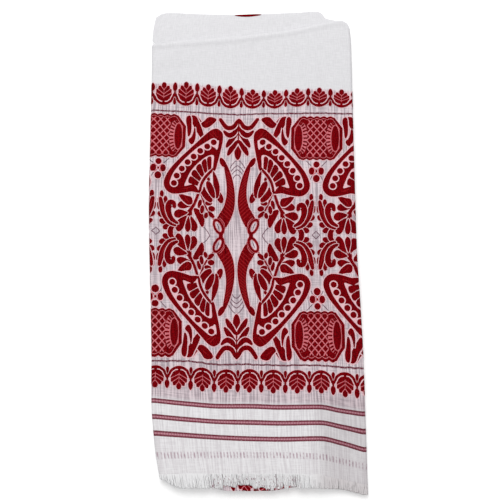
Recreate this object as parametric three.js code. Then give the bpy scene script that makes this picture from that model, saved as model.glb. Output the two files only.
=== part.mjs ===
// A gamosa: one woven cotton cloth with a short fringe of warp ends at each end, folded and laid flat.
//
// The cloth is first folded across its length in three runs, like a letter: the front run goes up from the
// near end, turns back over the top fold, the back run goes down, turns at the bottom fold, and the inner
// run goes up between the two. The folded strip is then turned under along its length, first its right
// third and then its left third, so nine layers lie on each other. The top fold was made a little askew,
// so the right third, turned under, stands out above the front's slanting top edge.
//
// Every point of the cloth is placed by three steps that follow each other: the letter fold, which gives
// its height and level, the turning under of the thirds, and the lie on the surface, which gives the
// outline its unevenness. Millimetres; +X across, +Y up the strip, +Z up from the surface.
import * as THREE from "three";

// The cloth, flat.
const CLOTH_WIDTH = 704; // selvedge to selvedge
const CLOTH_LENGTH = 1466; // woven length, without the fringes
const SHEET = 1.0; // thickness
const FRINGE_LENGTH = 12.5;
const FRINGE_SHEET = 0.7;
const FRINGE_HEADER = 2; // where the fringe's strands are still together
const FRINGE_TOOTH_PITCH = 14;
const FRINGE_TOOTH_SHARE = 0.6; // of the pitch
const PIECE_GAP = 0.3; // between the cloth's edge and its fringe

// The stack.
const LAYER_PITCH = 1.4; // from the middle of one layer to the next
const TOP_TURN = LAYER_PITCH; // the top fold goes round the inner run
const BOTTOM_TURN = LAYER_PITCH / 2;
const RUNS = 3;
const STRIP_PITCH = RUNS * LAYER_PITCH; // from one third of the folded strip to the one under it
const RIGHT_TURN = STRIP_PITCH / 2;
const LEFT_TURN = STRIP_PITCH; // goes round the right third
const HALF_STRIP = LAYER_PITCH + SHEET / 2;
const LOWEST = 2 * LEFT_TURN + HALF_STRIP; // from the front third's middle down to the surface

// Positions across the flat cloth, counted from the line where the left third starts to turn under.
const PANEL = 228.4; // between the two turns
const RIGHT_ARC = Math.PI * RIGHT_TURN;
const LEFT_ARC = Math.PI * LEFT_TURN;
const RIGHT_FLAP = 228.8;
const RIGHT_SELVEDGE = PANEL + RIGHT_ARC + RIGHT_FLAP;
const LEFT_SELVEDGE = RIGHT_SELVEDGE - CLOTH_WIDTH;
const RIGHT_CORNER = PANEL + RIGHT_ARC + 40; // past the notch beside the right turn
const SELVEDGE_CORNER = RIGHT_SELVEDGE - 14;

// The heights of the letter fold's edges, across the flat cloth.
const TOP_EDGE = [
  { across: LEFT_SELVEDGE, height: 243 },
  { across: -120, height: 246 },
  { across: 0, height: 246 },
  { across: 27, height: 251.4 },
  { across: 84, height: 258.4 },
  { across: 142, height: 265.2 },
  { across: 200, height: 275.4 },
  { across: PANEL, height: 278.6 },
  { across: 254, height: 282.6 },
  { across: 260, height: 284.6 },
  { across: 263.5, height: 290 },
  { across: 270, height: 293.2 },
  { across: 292, height: 292.6 },
  { across: 337, height: 289.6 },
  { across: 436, height: 291 },
  { across: 456, height: 289.5 },
  { across: RIGHT_SELVEDGE, height: 283 },
];
const BOTTOM_EDGE = [
  { across: LEFT_SELVEDGE, height: -259 },
  { across: -60, height: -261 },
  { across: -LEFT_ARC / 2, height: -251 },
  { across: 6, height: -258 },
  { across: 20, height: -264 },
  { across: 54, height: -266.5 },
  { across: 72, height: -269.5 },
  { across: 118, height: -270 },
  { across: 166, height: -266 },
  { across: 197, height: -264.5 },
  { across: PANEL, height: -265 },
  { across: 262, height: -262 },
  { across: RIGHT_SELVEDGE, height: -260 },
];
const NEAR_END = [
  { across: LEFT_SELVEDGE, height: -250 },
  { across: -LEFT_ARC / 2, height: -248 },
  { across: 22, height: -250.6 },
  { across: 60, height: -251.5 },
  { across: 190, height: -250 },
  { across: RIGHT_SELVEDGE, height: -249 },
];

// How the folded strip lies: its two outlines at each height, how far its weft rows rise at the left
// edge, and how far they drop at the right edge.
const LIE = [
  { height: -272, left: -97, right: 131.2, rise: 1, drop: 9 },
  { height: -235, left: -104.2, right: 130.4, rise: 3, drop: 10.5 },
  { height: -212, left: -108.2, right: 130, rise: 6.5, drop: 11.5 },
  { height: -177, left: -111.2, right: 129, rise: 7, drop: 7.5 },
  { height: -130, left: -111.9, right: 128.2, rise: 7, drop: 4 },
  { height: -60, left: -114.3, right: 126, rise: 6.5, drop: 2 },
  { height: 0, left: -116.9, right: 123.8, rise: 6, drop: 1 },
  { height: 70, left: -118.5, right: 123, rise: 5, drop: 0 },
  { height: 165, left: -118.2, right: 122.5, rise: 4, drop: 0 },
  { height: 252, left: -118.3, right: 122, rise: 4, drop: 0 },
  { height: 269, left: -121.4, right: 121, rise: 4, drop: 0 },
  { height: 294, left: -119.8, right: 120, rise: 4, drop: 0 },
];
const RISE_REACH = 0.45; // of the strip's width, from the left edge
const DROP_REACH = 0.28; // from the right edge

// Soft swells of the stack: where, as a share of the width and a height, how far they reach and how much
// higher they make it, as a share of its thickness.
const SWELLS = [
  { share: 0.76, height: -235, reachAcross: 0.1, reachUp: 70, rise: 0.07 },
  { share: 1.0, height: -250, reachAcross: 0.14, reachUp: 90, rise: -0.12 },
  { share: 0.3, height: -60, reachAcross: 0.22, reachUp: 60, rise: 0.05 },
  { share: 0.72, height: 60, reachAcross: 0.2, reachUp: 70, rise: 0.06 },
  { share: 0.22, height: 225, reachAcross: 0.16, reachUp: 28, rise: 0.06 },
  { share: 0.84, height: 235, reachAcross: 0.14, reachUp: 26, rise: 0.07 },
];
// Past the left third's top fold nothing lies under the two upper thirds, and they sink.
const SAG = { from: 251, to: 293, depth: 2.8 };

// How finely the cloth is divided across.
const COLUMNS = [
  { from: LEFT_SELVEDGE, to: -LEFT_ARC, steps: 6 },
  { from: -LEFT_ARC, to: 0, steps: 6 },
  { from: 0, to: PANEL, steps: 9 },
  { from: PANEL, to: PANEL + RIGHT_ARC, steps: 5 },
  { from: PANEL + RIGHT_ARC, to: RIGHT_CORNER, steps: 7 },
  { from: RIGHT_CORNER, to: SELVEDGE_CORNER, steps: 5 },
  { from: SELVEDGE_CORNER, to: RIGHT_SELVEDGE, steps: 3 },
];
// How finely it is divided along. The runs share these heights and distances below the top turn, so the
// facets of one run lie parallel to those of the next.
const LOW_ROWS = [-240, -215, -180];
const ROWS_BELOW_TOP = [50, 30, 14];
const MIDDLE_STEPS = 4;
const INNER_STEPS = 4;
const TOP_TURN_STEPS = 5;
const BOTTOM_TURN_STEPS = 4;

// A smooth curve through a table's rows, that never swings past them.
function smoothAt(table, key, column, at) {
  const last = table.length - 1;
  if (at <= table[0][key]) return table[0][column];
  if (at >= table[last][key]) return table[last][column];
  const slope = (i) => (table[i + 1][column] - table[i][column]) / (table[i + 1][key] - table[i][key]);
  const tangent = (i) => {
    if (i === 0 || i === last) return slope(Math.min(i, last - 1));
    const [before, after] = [slope(i - 1), slope(i)];
    return before * after > 0 ? (2 * before * after) / (before + after) : 0;
  };
  const i = table.findIndex((row) => row[key] > at) - 1;
  const span = table[i + 1][key] - table[i][key];
  const t = (at - table[i][key]) / span;
  const [t2, t3] = [t * t, t * t * t];
  return (
    table[i][column] * (2 * t3 - 3 * t2 + 1) +
    table[i + 1][column] * (3 * t2 - 2 * t3) +
    span * (tangent(i) * (t3 - 2 * t2 + t) + tangent(i + 1) * (t3 - t2))
  );
}

const mix = THREE.MathUtils.lerp;

// The heights between which one warp thread runs. Its length is the cloth's, so where the top fold is
// higher, the inner run ends lower.
function runsOf(across) {
  const start = smoothAt(NEAR_END, "across", "height", across);
  const top = smoothAt(TOP_EDGE, "across", "height", across) - TOP_TURN - SHEET / 2;
  const bottom = smoothAt(BOTTOM_EDGE, "across", "height", across) + BOTTOM_TURN + SHEET / 2;
  const used = top - start + Math.PI * TOP_TURN + top - bottom + Math.PI * BOTTOM_TURN;
  return { start, top, bottom, end: bottom + CLOTH_LENGTH - used };
}

// The letter fold: a point on the cloth's middle surface, as a height and a level above the strip's
// middle, with the direction in which the cloth's face looks there. A run is given by a height, a turn
// by a share of its half circle. A height past the near or far end lies on the fringe.
const LETTER_FOLD = {
  front: (runs, height) => ({ height, level: LAYER_PITCH, face: [0, 1] }),
  topTurn: (runs, share) => {
    const face = [Math.sin(Math.PI * share), Math.cos(Math.PI * share)];
    return { height: runs.top + TOP_TURN * face[0], level: TOP_TURN * face[1], face };
  },
  back: (runs, height) => ({ height, level: -LAYER_PITCH, face: [0, -1] }),
  bottomTurn: (runs, share) => {
    const face = [-Math.sin(Math.PI * share), -Math.cos(Math.PI * share)];
    return { height: runs.bottom + BOTTOM_TURN * face[0], level: BOTTOM_TURN * (face[1] - 1), face };
  },
  inner: (runs, height) => ({ height, level: 0, face: [0, 1] }),
};

// What lies past a fold line goes round a half circle of that radius and back under the strip.
function rollUnder(past, level, radius) {
  const arc = Math.PI * radius;
  if (past >= arc) return { out: arc - past, level: -2 * radius - level };
  const turn = past / radius;
  const reach = radius + level;
  return { out: reach * Math.sin(turn), level: reach * Math.cos(turn) - radius };
}

function turnThirdsUnder(across, level) {
  if (across > PANEL) {
    const rolled = rollUnder(across - PANEL, level, RIGHT_TURN);
    return { x: PANEL + rolled.out, level: rolled.level };
  }
  if (across < 0) {
    const rolled = rollUnder(-across, level, LEFT_TURN);
    return { x: -rolled.out, level: rolled.level };
  }
  return { x: across, level };
}

function swellAt(share, height) {
  return SWELLS.reduce((sum, s) => {
    const [dx, dy] = [(share - s.share) / s.reachAcross, (height - s.height) / s.reachUp];
    return sum + s.rise * Math.exp(-(dx * dx + dy * dy) / 2);
  }, 0);
}

function layOnSurface(x, height, level) {
  const leftBulge = LEFT_TURN + HALF_STRIP;
  const rightBulge = RIGHT_TURN + HALF_STRIP;
  const share = (x + leftBulge) / (leftBulge + PANEL + rightBulge);
  const [left, right, rise, drop] = ["left", "right", "rise", "drop"].map((column) =>
    smoothAt(LIE, "height", column, height),
  );
  const nearLeft = Math.max(0, 1 - share / RISE_REACH);
  const nearRight = Math.max(0, 1 - (1 - share) / DROP_REACH);
  const sag = SAG.depth * Math.max(0, (height - SAG.from) / (SAG.to - SAG.from)) ** 2;
  return new THREE.Vector3(
    mix(left, right, share),
    height + rise * nearLeft ** 2 - drop * nearRight ** 2,
    (level + LOWEST) * (1 + swellAt(share, height)) - sag,
  );
}

// A point of the cloth: where across it, at what row of its letter fold, and how far off its middle
// surface towards its face.
function placeOnCloth(across, { stretch, at }, off) {
  const runs = runsOf(across);
  const { height, level, face } = LETTER_FOLD[stretch](runs, at(runs));
  const turned = turnThirdsUnder(across, level + off * face[1]);
  return layOnSurface(turned.x, height + off * face[0], turned.level);
}

function divide(from, to, steps) {
  return Array.from({ length: steps + 1 }, (_, i) => mix(from, to, i / steps));
}

// Joins lists of stations into one, leaving out those nearer than the least spacing.
function joinStations(lists, leastSpacing) {
  const kept = [];
  for (const at of lists.flat().sort((a, b) => a - b))
    if (!kept.length || at - kept[kept.length - 1] > leastSpacing) kept.push(at);
  return kept;
}

// A closed solid from a grid of cells, each of which is either cloth or a gap. place(column, row, side)
// gives a corner on the face (side 1) or the back (side -1).
function gridSolid(columnCount, rowCount, isCloth, place) {
  const corners = [-1, 1].map((side) =>
    Array.from({ length: columnCount + 1 }, (_, i) =>
      Array.from({ length: rowCount + 1 }, (__, j) => place(i, j, side)),
    ),
  );
  const [backs, faces] = corners;
  const positions = [];
  const quad = (a, b, c, d) => {
    for (const p of [a, b, c, a, c, d]) positions.push(p.x, p.y, p.z);
  };
  const filled = (i, j) => i >= 0 && j >= 0 && i < columnCount && j < rowCount && isCloth(i, j);
  const wall = (i0, j0, i1, j1) => quad(faces[i0][j0], backs[i0][j0], backs[i1][j1], faces[i1][j1]);
  for (let i = 0; i < columnCount; i++)
    for (let j = 0; j < rowCount; j++) {
      if (!filled(i, j)) continue;
      quad(faces[i][j], faces[i + 1][j], faces[i + 1][j + 1], faces[i][j + 1]);
      quad(backs[i][j], backs[i][j + 1], backs[i + 1][j + 1], backs[i + 1][j]);
      if (!filled(i, j - 1)) wall(i, j, i + 1, j);
      if (!filled(i + 1, j)) wall(i + 1, j, i + 1, j + 1);
      if (!filled(i, j + 1)) wall(i + 1, j + 1, i, j + 1);
      if (!filled(i - 1, j)) wall(i, j + 1, i, j);
    }
  const geometry = new THREE.BufferGeometry();
  geometry.setAttribute("position", new THREE.Float32BufferAttribute(positions, 3));
  geometry.computeVertexNormals();
  return geometry;
}

const CLOTH_COLUMNS = joinStations(
  COLUMNS.map((span) => divide(span.from, span.to, span.steps)),
  1e-6,
);

function clothRows() {
  const lastLow = LOW_ROWS[LOW_ROWS.length - 1];
  const row = (stretch) => (at) => ({ stretch, at });
  const low = LOW_ROWS.map((height) => () => height);
  const middle = divide(0, 1, MIDDLE_STEPS)
    .slice(1)
    .map((share) => (runs) => mix(lastLow, runs.top - ROWS_BELOW_TOP[0], share));
  const high = ROWS_BELOW_TOP.slice(1).map((below) => (runs) => runs.top - below);
  const rising = [...low, ...middle, ...high];
  const inner = divide(0, 1, INNER_STEPS)
    .slice(1)
    .map((share) => (runs) => mix(lastLow, runs.end, share));
  return [
    ...[(runs) => runs.start, ...rising].map(row("front")),
    ...divide(0, 1, TOP_TURN_STEPS).map((share) => row("topTurn")(() => share)),
    ...rising.toReversed().map(row("back")),
    ...divide(0, 1, BOTTOM_TURN_STEPS).map((share) => row("bottomTurn")(() => share)),
    ...[...low, ...inner].map(row("inner")),
  ];
}

function clothGeometry() {
  const rows = clothRows();
  const place = (i, j, side) => placeOnCloth(CLOTH_COLUMNS[i], rows[j], (side * SHEET) / 2);
  return gridSolid(CLOTH_COLUMNS.length - 1, rows.length - 1, () => true, place);
}

// A position between two of the cloth's columns lies on the straight facet between them.
function onFacet(across, placeAt) {
  const i = Math.max(1, CLOTH_COLUMNS.findIndex((column) => column >= across - 1e-9));
  const [from, to] = [CLOTH_COLUMNS[i - 1], CLOTH_COLUMNS[i]];
  return placeAt(from).lerp(placeAt(to), (across - from) / (to - from));
}

// One comb along an end of the cloth: a header where the strands start, and a tooth for each bunch of
// them. It follows the end round both turns.
function fringeGeometry(stretch) {
  const count = Math.round(CLOTH_WIDTH / FRINGE_TOOTH_PITCH);
  const pitch = CLOTH_WIDTH / count;
  const toothEdges = divide(LEFT_SELVEDGE, RIGHT_SELVEDGE, count)
    .slice(0, -1)
    .flatMap((edge) => [edge, edge + pitch * FRINGE_TOOTH_SHARE]);
  const columns = joinStations([CLOTH_COLUMNS, toothEdges], 0.05);
  const beyond = [PIECE_GAP, PIECE_GAP + FRINGE_HEADER, FRINGE_LENGTH];
  const rows =
    stretch === "front"
      ? beyond.toReversed().map((distance) => ({ stretch, at: (runs) => runs.start - distance }))
      : beyond.map((distance) => ({ stretch, at: (runs) => runs.end + distance }));
  const headerRow = stretch === "front" ? 1 : 0;
  const inTooth = (i) => {
    const middle = (columns[i] + columns[i + 1]) / 2 - LEFT_SELVEDGE;
    return middle % pitch < pitch * FRINGE_TOOTH_SHARE;
  };
  const place = (i, j, side) =>
    onFacet(columns[i], (across) => placeOnCloth(across, rows[j], (side * FRINGE_SHEET) / 2));
  return gridSolid(columns.length - 1, 2, (i, j) => j === headerRow || inTooth(i), place);
}

function piece(name, geometry, color, roughness) {
  const material = new THREE.MeshStandardMaterial({ color, roughness, metalness: 0 });
  const mesh = new THREE.Mesh(geometry, material);
  mesh.name = name;
  return mesh;
}

const gamosa = new THREE.Group();
gamosa.add(
  piece("cloth", clothGeometry(), 0xe4e3e6, 0.9),
  piece("fringe_near_end", fringeGeometry("front"), 0xdedde0, 0.95),
  piece("fringe_far_end", fringeGeometry("inner"), 0xdedde0, 0.95),
);

// The origin goes to the middle of the underside.
const box = new THREE.Box3().setFromObject(gamosa);
const middle = box.getCenter(new THREE.Vector3());
gamosa.position.set(-middle.x, -middle.y, -box.min.z);

export default gamosa;
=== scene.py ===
"""A folded gamosa: a long white cotton towel with a figured red band at each end.

The cloth is folded across its length in three runs, then its two side thirds are turned under. One
`Fold` places every point of the flat cloth, so the ground cloth, the red inlay woven into it and the
fringe all follow the same folds. Flat positions are in millimetres: across from the line where the left
third turns under, along from the near end.
"""
import logging
import math
import random
from abc import ABC, abstractmethod
from collections.abc import Callable, Sequence
from dataclasses import dataclass, field
from enum import Enum
from functools import cached_property

import bmesh
import bpy
import numpy as np
from bmesh.types import BMesh
from bpy.types import Material, Mesh, Node, NodeSocket as Socket, NodeTree, Object
from mathutils import Matrix, Vector
from mathutils.geometry import delaunay_2d_cdt


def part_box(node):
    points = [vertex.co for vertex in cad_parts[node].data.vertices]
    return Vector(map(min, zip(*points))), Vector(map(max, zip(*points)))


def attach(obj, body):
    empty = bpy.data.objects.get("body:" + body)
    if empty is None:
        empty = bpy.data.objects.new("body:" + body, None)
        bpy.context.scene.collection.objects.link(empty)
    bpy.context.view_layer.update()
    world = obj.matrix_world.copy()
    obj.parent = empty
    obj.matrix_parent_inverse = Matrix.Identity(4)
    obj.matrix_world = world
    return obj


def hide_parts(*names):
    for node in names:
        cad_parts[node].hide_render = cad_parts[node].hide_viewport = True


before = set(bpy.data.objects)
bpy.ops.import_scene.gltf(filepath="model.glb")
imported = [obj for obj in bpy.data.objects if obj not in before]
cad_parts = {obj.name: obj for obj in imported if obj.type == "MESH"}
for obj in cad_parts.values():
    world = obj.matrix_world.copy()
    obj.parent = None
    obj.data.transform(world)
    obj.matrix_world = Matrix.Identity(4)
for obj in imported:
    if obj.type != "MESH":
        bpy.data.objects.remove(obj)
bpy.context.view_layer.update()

log = logging.getLogger("gamosa")

MM = 0.001
BODY = "root"
Point = tuple[float, float]
Points = Sequence[Point]
Colour = tuple[float, float, float, float]


# ---------------------------------------------------------------- the fold


@dataclass(frozen=True)
class SmoothTable:
    """A smooth curve through a short table's rows, that never swings past them."""

    rows: tuple[Point, ...]

    def __call__(self, at: np.ndarray | float) -> np.ndarray:
        """The curve's value at each place."""
        xs, ys = np.array(self.rows, dtype=float).T
        slopes = np.diff(ys) / np.diff(xs)
        before, after = slopes[:-1], slopes[1:]
        rising = before * after > 0
        inner = np.where(rising, 2 * before * after / np.where(rising, before + after, 1), 0)
        tangents = np.concatenate([slopes[:1], inner, slopes[-1:]])
        at = np.clip(at, xs[0], xs[-1])
        i = np.clip(np.searchsorted(xs, at, side="right") - 1, 0, len(xs) - 2)
        span = xs[i + 1] - xs[i]
        t = (at - xs[i]) / span
        return (
            ys[i] * (2 * t**3 - 3 * t**2 + 1)
            + ys[i + 1] * (3 * t**2 - 2 * t**3)
            + span * (tangents[i] * (t**3 - 2 * t**2 + t) + tangents[i + 1] * (t**3 - t**2))
        )


def smooth_step(x: np.ndarray) -> np.ndarray:
    """0 below 0, 1 above 1 and a soft rise between."""
    x = np.clip(x, 0, 1)
    return x * x * (3 - 2 * x)


@dataclass(frozen=True)
class WeftDrift:
    """How far the weft rows wander up or down from straight."""

    rows: tuple[tuple[float, tuple[Point, ...]], ...] = (
        # height, then the drift at shares of the strip's width
        (-270, ((0.02, -1), (0.33, 0), (0.6, 0), (0.78, -2), (0.88, -5), (0.98, -10))),
        (-230, ((0.02, -1.6), (0.33, -0.6), (0.45, -0.6), (0.6, -0.8), (0.78, -2.6), (0.88, -7.8),
                (0.98, -13.4))),
        (-212, ((0.02, 5.4), (0.18, 2.5), (0.33, 0.2), (0.45, -1), (0.6, -1.6), (0.78, -0.8),
                (0.88, -5.8), (0.98, -13))),
        (-177, ((0.02, 6.2), (0.18, 2.3), (0.33, -0.2), (0.45, -0.2), (0.6, -1.3), (0.78, -0.9),
                (0.88, -5), (0.98, -8.6))),
        (-131, ((0.02, 4.3), (0.18, 3.4), (0.33, -0.3), (0.45, 0.1), (0.6, -0.8), (0.78, -1.1),
                (0.88, -2.8), (0.98, -4.4))),
        (-118, ((0.02, 6.8), (0.18, 5.7), (0.33, 1.6), (0.45, 1.8), (0.6, 1.8), (0.78, 2.5),
                (0.88, 1.2), (0.98, -0.2))),
        (-66, ((0.02, 6.6), (0.18, 4.6), (0.33, 0.7), (0.45, 0.8), (0.6, 1.6), (0.78, 2.9), (0.88, 2.6),
               (0.98, 1.6))),
        (16, ((0.02, 6.6), (0.18, 3.6), (0.33, 0.2), (0.6, 0.2), (0.78, 1.0), (0.88, 0.8),
              (0.98, 0.2))),
        (163, ((0.02, 4.9), (0.08, 3.9), (0.2, 2.3), (0.33, -0.2), (0.45, -0.9), (0.6, 0.4),
               (0.78, 0.6), (0.98, 0))),
        (171, ((0.02, 4.8), (0.07, 4.2), (0.29, 1.8), (0.4, -0.2), (0.51, -0.5), (0.61, -0.4),
               (0.72, 1.8), (0.83, 1.8), (0.98, 0.4))),
        (198, ((0.02, 4.8), (0.07, 4.6), (0.175, 5), (0.29, 1.8), (0.4, -0.2), (0.51, -4.4),
               (0.61, -5.2), (0.72, -3.1), (0.83, -2.3), (0.94, -4.6), (0.99, -5))),
        (250, ((0.02, 5.8), (0.18, 3.4), (0.33, 2.3), (0.45, 1.4), (0.6, 0.6), (0.8, 0.4))),
        (292, ((0.02, 5.6), (0.25, 2.4), (0.35, 2.2), (0.45, 2.6), (0.56, 3.8), (0.75, 2.8),
               (0.83, 3.6), (0.95, 3.2))),
    )

    def __call__(self, share: np.ndarray, height: np.ndarray) -> np.ndarray:
        """The drift at each place on the strip."""
        heights = np.array([row[0] for row in self.rows], dtype=float)
        columns = np.array([SmoothTable(drifts)(share) for _, drifts in self.rows])
        at = np.clip(height, heights[0], heights[-1])
        i = np.clip(np.searchsorted(heights, at, side="right") - 1, 0, len(heights) - 2)
        t = smooth_step((at - heights[i]) / (heights[i + 1] - heights[i]))
        each = np.arange(columns.shape[1])
        return columns[i, each] * (1 - t) + columns[i + 1, each] * t


@dataclass(frozen=True)
class Swell:
    """A soft hill or hollow of the stack, as a share of its thickness."""

    share: float
    height: float
    reach_across: float
    reach_up: float
    rise: float

    def __call__(self, share: np.ndarray, height: np.ndarray) -> np.ndarray:
        """How much thicker the stack is there."""
        dx = (share - self.share) / self.reach_across
        dy = (height - self.height) / self.reach_up
        return self.rise * np.exp(-(dx**2 + dy**2) / 2)


@dataclass(frozen=True)
class Crease:
    """A soft ridge, or a trough, along a straight line on the strip, in millimetres at its top layer."""

    start: Point
    end: Point
    width: float
    rise: float

    def __call__(self, x: np.ndarray, y: np.ndarray) -> np.ndarray:
        """How far it lifts the top layer."""
        (x0, y0), (x1, y1) = self.start, self.end
        length = math.hypot(x1 - x0, y1 - y0)
        ax, ay = (x1 - x0) / length, (y1 - y0) / length
        along = (x - x0) * ax + (y - y0) * ay
        aside = (x - x0) * -ay + (y - y0) * ax
        past = np.maximum(0, np.maximum(-along, along - length))
        return self.rise * np.exp(-((aside / self.width) ** 2) - (past / (1.5 * self.width)) ** 2)


@dataclass(frozen=True)
class Fold:
    """The folds of the cloth, with the sizes of the CAD model's, and how the folded strip lies."""

    length: float = 1466.0
    layer_pitch: float = 1.4
    top_turn: float = 1.4
    bottom_turn: float = 0.7
    right_turn: float = 2.1
    left_turn: float = 4.2
    panel: float = 228.4
    right_flap: float = 228.8
    width: float = 704.0
    sheet: float = 0.6
    solid_sheet: float = 1.0
    near_end: float = -250.7
    top_edge: SmoothTable = SmoothTable(
        (
            # across, height
            (-240.2, 243), (-120, 246), (0, 246), (27, 251.4), (84, 258.4), (142, 265.2),
            (200, 276), (214, 279.2), (223, 279.4), (228.4, 276.8), (231.4, 271.5), (234.6, 276),
            (242, 280.6), (254, 282.6), (260, 284.6), (263.5, 290), (270, 293.2), (292, 292.6),
            (337, 289.6), (436, 291), (456, 289.5), (463.8, 283),
        )
    )
    bottom_edge: SmoothTable = SmoothTable(
        (
            # across, height
            (-240.2, -259), (-60, -261), (-6.6, -252.5), (6, -253.6), (14, -256), (22, -258.8),
            (36, -262.8), (54, -266), (72, -269.5), (118, -269.2), (140, -266), (166, -262.8),
            (197, -261.4), (228.4, -263), (262, -261), (430, -259), (450, -255), (463.8, -250),
        )
    )
    left_outline: SmoothTable = SmoothTable(
        (
            # height, x
            (-272, -97), (-235, -104.2), (-212, -108.2), (-177, -111.2), (-130, -111.9), (-60, -114.3),
            (0, -116.9), (70, -118.5), (165, -118.2), (248.5, -118.6), (251, -123.6), (258, -123.4),
            (278, -120.8), (289, -118),
        )
    )
    right_outline: SmoothTable = SmoothTable(
        (
            # height, x
            (-272, 131.2), (-235, 130.6), (-212, 130.4), (-177, 129.8), (-130, 129), (-60, 126.4),
            (0, 123.8), (70, 123), (165, 122.5), (252, 122), (269, 121), (294, 120),
        )
    )
    weft_drift: WeftDrift = WeftDrift()
    swells: tuple[Swell, ...] = (
        Swell(0.76, -235, 0.1, 70, 0.07),
        Swell(1.0, -250, 0.14, 90, -0.5),
        Swell(0.3, -60, 0.22, 60, 0.05),
        Swell(0.72, 60, 0.2, 70, 0.06),
        Swell(0.22, 225, 0.16, 28, 0.06),
        Swell(0.84, 235, 0.14, 26, 0.07),
    )
    creases: tuple[Crease, ...] = (
        Crease((74, -165), (77, -272), 8.0, 1.1),
        Crease((-112, 216), (-70, 222), 5.0, -0.5),
        Crease((-104, 232), (-84, 238), 9.0, 0.6),
        Crease((72, 262), (98, 205), 12.0, 0.7),
        Crease((30, 274), (62, 276), 6.0, -0.8),
        Crease((-60, 283), (-20, 281), 6.0, 0.4),
        Crease((-90, -215), (-60, -262), 10.0, 0.4),
        Crease((0, -240), (6, -190), 9.0, 0.3),
        Crease((112, 100), (116, -60), 6.0, 0.3),
        Crease((-114, 248.6), (-36, 254.6), 3.4, 1.2),
        Crease((-24, 255.6), (40, 264.4), 3.4, 1.2),
        Crease((52, 266.4), (84, 273.6), 3.4, 1.2),
        Crease((94, 276.6), (112, 279), 3.4, 1.1),
    )
    sag_from: float = 251.0
    sag_to: float = 293.0
    sag_depth: float = 2.8

    @property
    def left_arc(self) -> float:
        """The length of cloth in the left turn."""
        return math.pi * self.left_turn

    @property
    def right_arc(self) -> float:
        """The length of cloth in the right turn."""
        return math.pi * self.right_turn

    def turn_columns(self, step: float = 1.1) -> list[float]:
        """Places across the two side turns where pieces are divided."""
        return [*spread(-self.left_arc, 0, step), *spread(self.panel, self.panel + self.right_arc, step)]

    @property
    def right_selvedge(self) -> float:
        """Where the cloth ends, across, on the right."""
        return self.panel + self.right_arc + self.right_flap

    @property
    def left_selvedge(self) -> float:
        """Where the cloth ends, across, on the left."""
        return self.right_selvedge - self.width

    @property
    def half_strip(self) -> float:
        """Half the thickness of one folded strip's three layers."""
        return self.layer_pitch + self.sheet / 2

    @property
    def height(self) -> float:
        """The thickness of the whole stack."""
        return 2 * self.left_turn + 2 * self.half_strip

    def run_ends(self, across: np.ndarray) -> tuple[np.ndarray, np.ndarray]:
        """Heights at which the runs meet the top and the bottom turn."""
        top = self.top_edge(across) - self.top_turn - self.solid_sheet / 2
        bottom = self.bottom_edge(across) + self.bottom_turn + self.solid_sheet / 2
        return top, bottom

    def letter_fold(
        self,
        across: np.ndarray,
        along: np.ndarray,
        off: np.ndarray,
    ) -> tuple[np.ndarray, np.ndarray]:
        """Folds the cloth across its length, front run down to inner run.

        Args:
            across: places across the flat cloth.
            along: places along it, from the near end.
            off: distances off its middle surface, towards its face.

        Returns:
            Height on the strip, and level above the strip's middle.
        """
        top, bottom = self.run_ends(across)
        front = top - self.near_end
        top_arc, bottom_arc = math.pi * self.top_turn, math.pi * self.bottom_turn
        back_from = front + top_arc
        bottom_from = back_from + top - bottom
        inner_from = bottom_from + bottom_arc
        turn_a = np.clip((along - front) / self.top_turn, 0, math.pi)
        turn_b = np.clip((along - bottom_from) / self.bottom_turn, 0, math.pi)
        stretches = [along < front, along < back_from, along < bottom_from, along < inner_from]
        height = np.select(
            stretches,
            [
                self.near_end + along,
                top + (self.top_turn + off) * np.sin(turn_a),
                top - (along - back_from),
                bottom - (self.bottom_turn + off) * np.sin(turn_b),
            ],
            bottom + along - inner_from,
        )
        level = np.select(
            stretches,
            [
                self.layer_pitch + off,
                (self.top_turn + off) * np.cos(turn_a),
                -self.layer_pitch - off,
                -self.bottom_turn - (self.bottom_turn + off) * np.cos(turn_b),
            ],
            off,
        )
        return height, level

    def turn_under(self, across: np.ndarray, level: np.ndarray) -> tuple[np.ndarray, np.ndarray]:
        """Turns the side thirds of the strip under it.

        Args:
            across: places across the strip.
            level: levels above its middle.

        Returns:
            Place across and level after the turns.
        """
        x, z = across.copy(), level.copy()
        sides = (
            (across > self.panel, across - self.panel, self.right_turn, self.panel, 1),
            (across < 0, -across, self.left_turn, 0, -1),
        )
        for where, past, radius, edge, way in sides:
            turn = np.clip(past / radius, 0, math.pi)
            beyond = np.maximum(0, past - math.pi * radius)
            rolled_x = (radius + level) * np.sin(turn) - beyond
            rolled_z = (radius + level) * np.cos(turn) - radius
            x = np.where(where, edge + way * rolled_x, x)
            z = np.where(where, rolled_z, z)
        return x, z

    def lie(self, x: np.ndarray, height: np.ndarray, level: np.ndarray) -> np.ndarray:
        """Lays the folded strip on the surface with its uneven outline.

        Args:
            x: places across the strip.
            height: heights on it.
            level: levels above its middle.

        Returns:
            Rows of x, y and z in millimetres, in the strip's own frame.
        """
        bulge = self.layer_pitch + self.solid_sheet / 2
        left_bulge, right_bulge = self.left_turn + bulge, self.right_turn + bulge
        share = (x + left_bulge) / (left_bulge + self.panel + right_bulge)
        left, right = self.left_outline(height), self.right_outline(height)
        place_x = left + share * (right - left)
        place_y = height + self.weft_drift(share, height)
        swell = sum(each(share, height) for each in self.swells)
        crease = sum(each(place_x, place_y) for each in self.creases)
        past = np.clip((height - self.sag_from) / (self.sag_to - self.sag_from), 0, 2)
        sag = self.sag_depth * past**2
        above = level + 2 * self.left_turn + self.half_strip
        above = above * (1 + swell + crease / self.height)
        return np.stack([place_x, place_y, above - sag], axis=-1)

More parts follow.
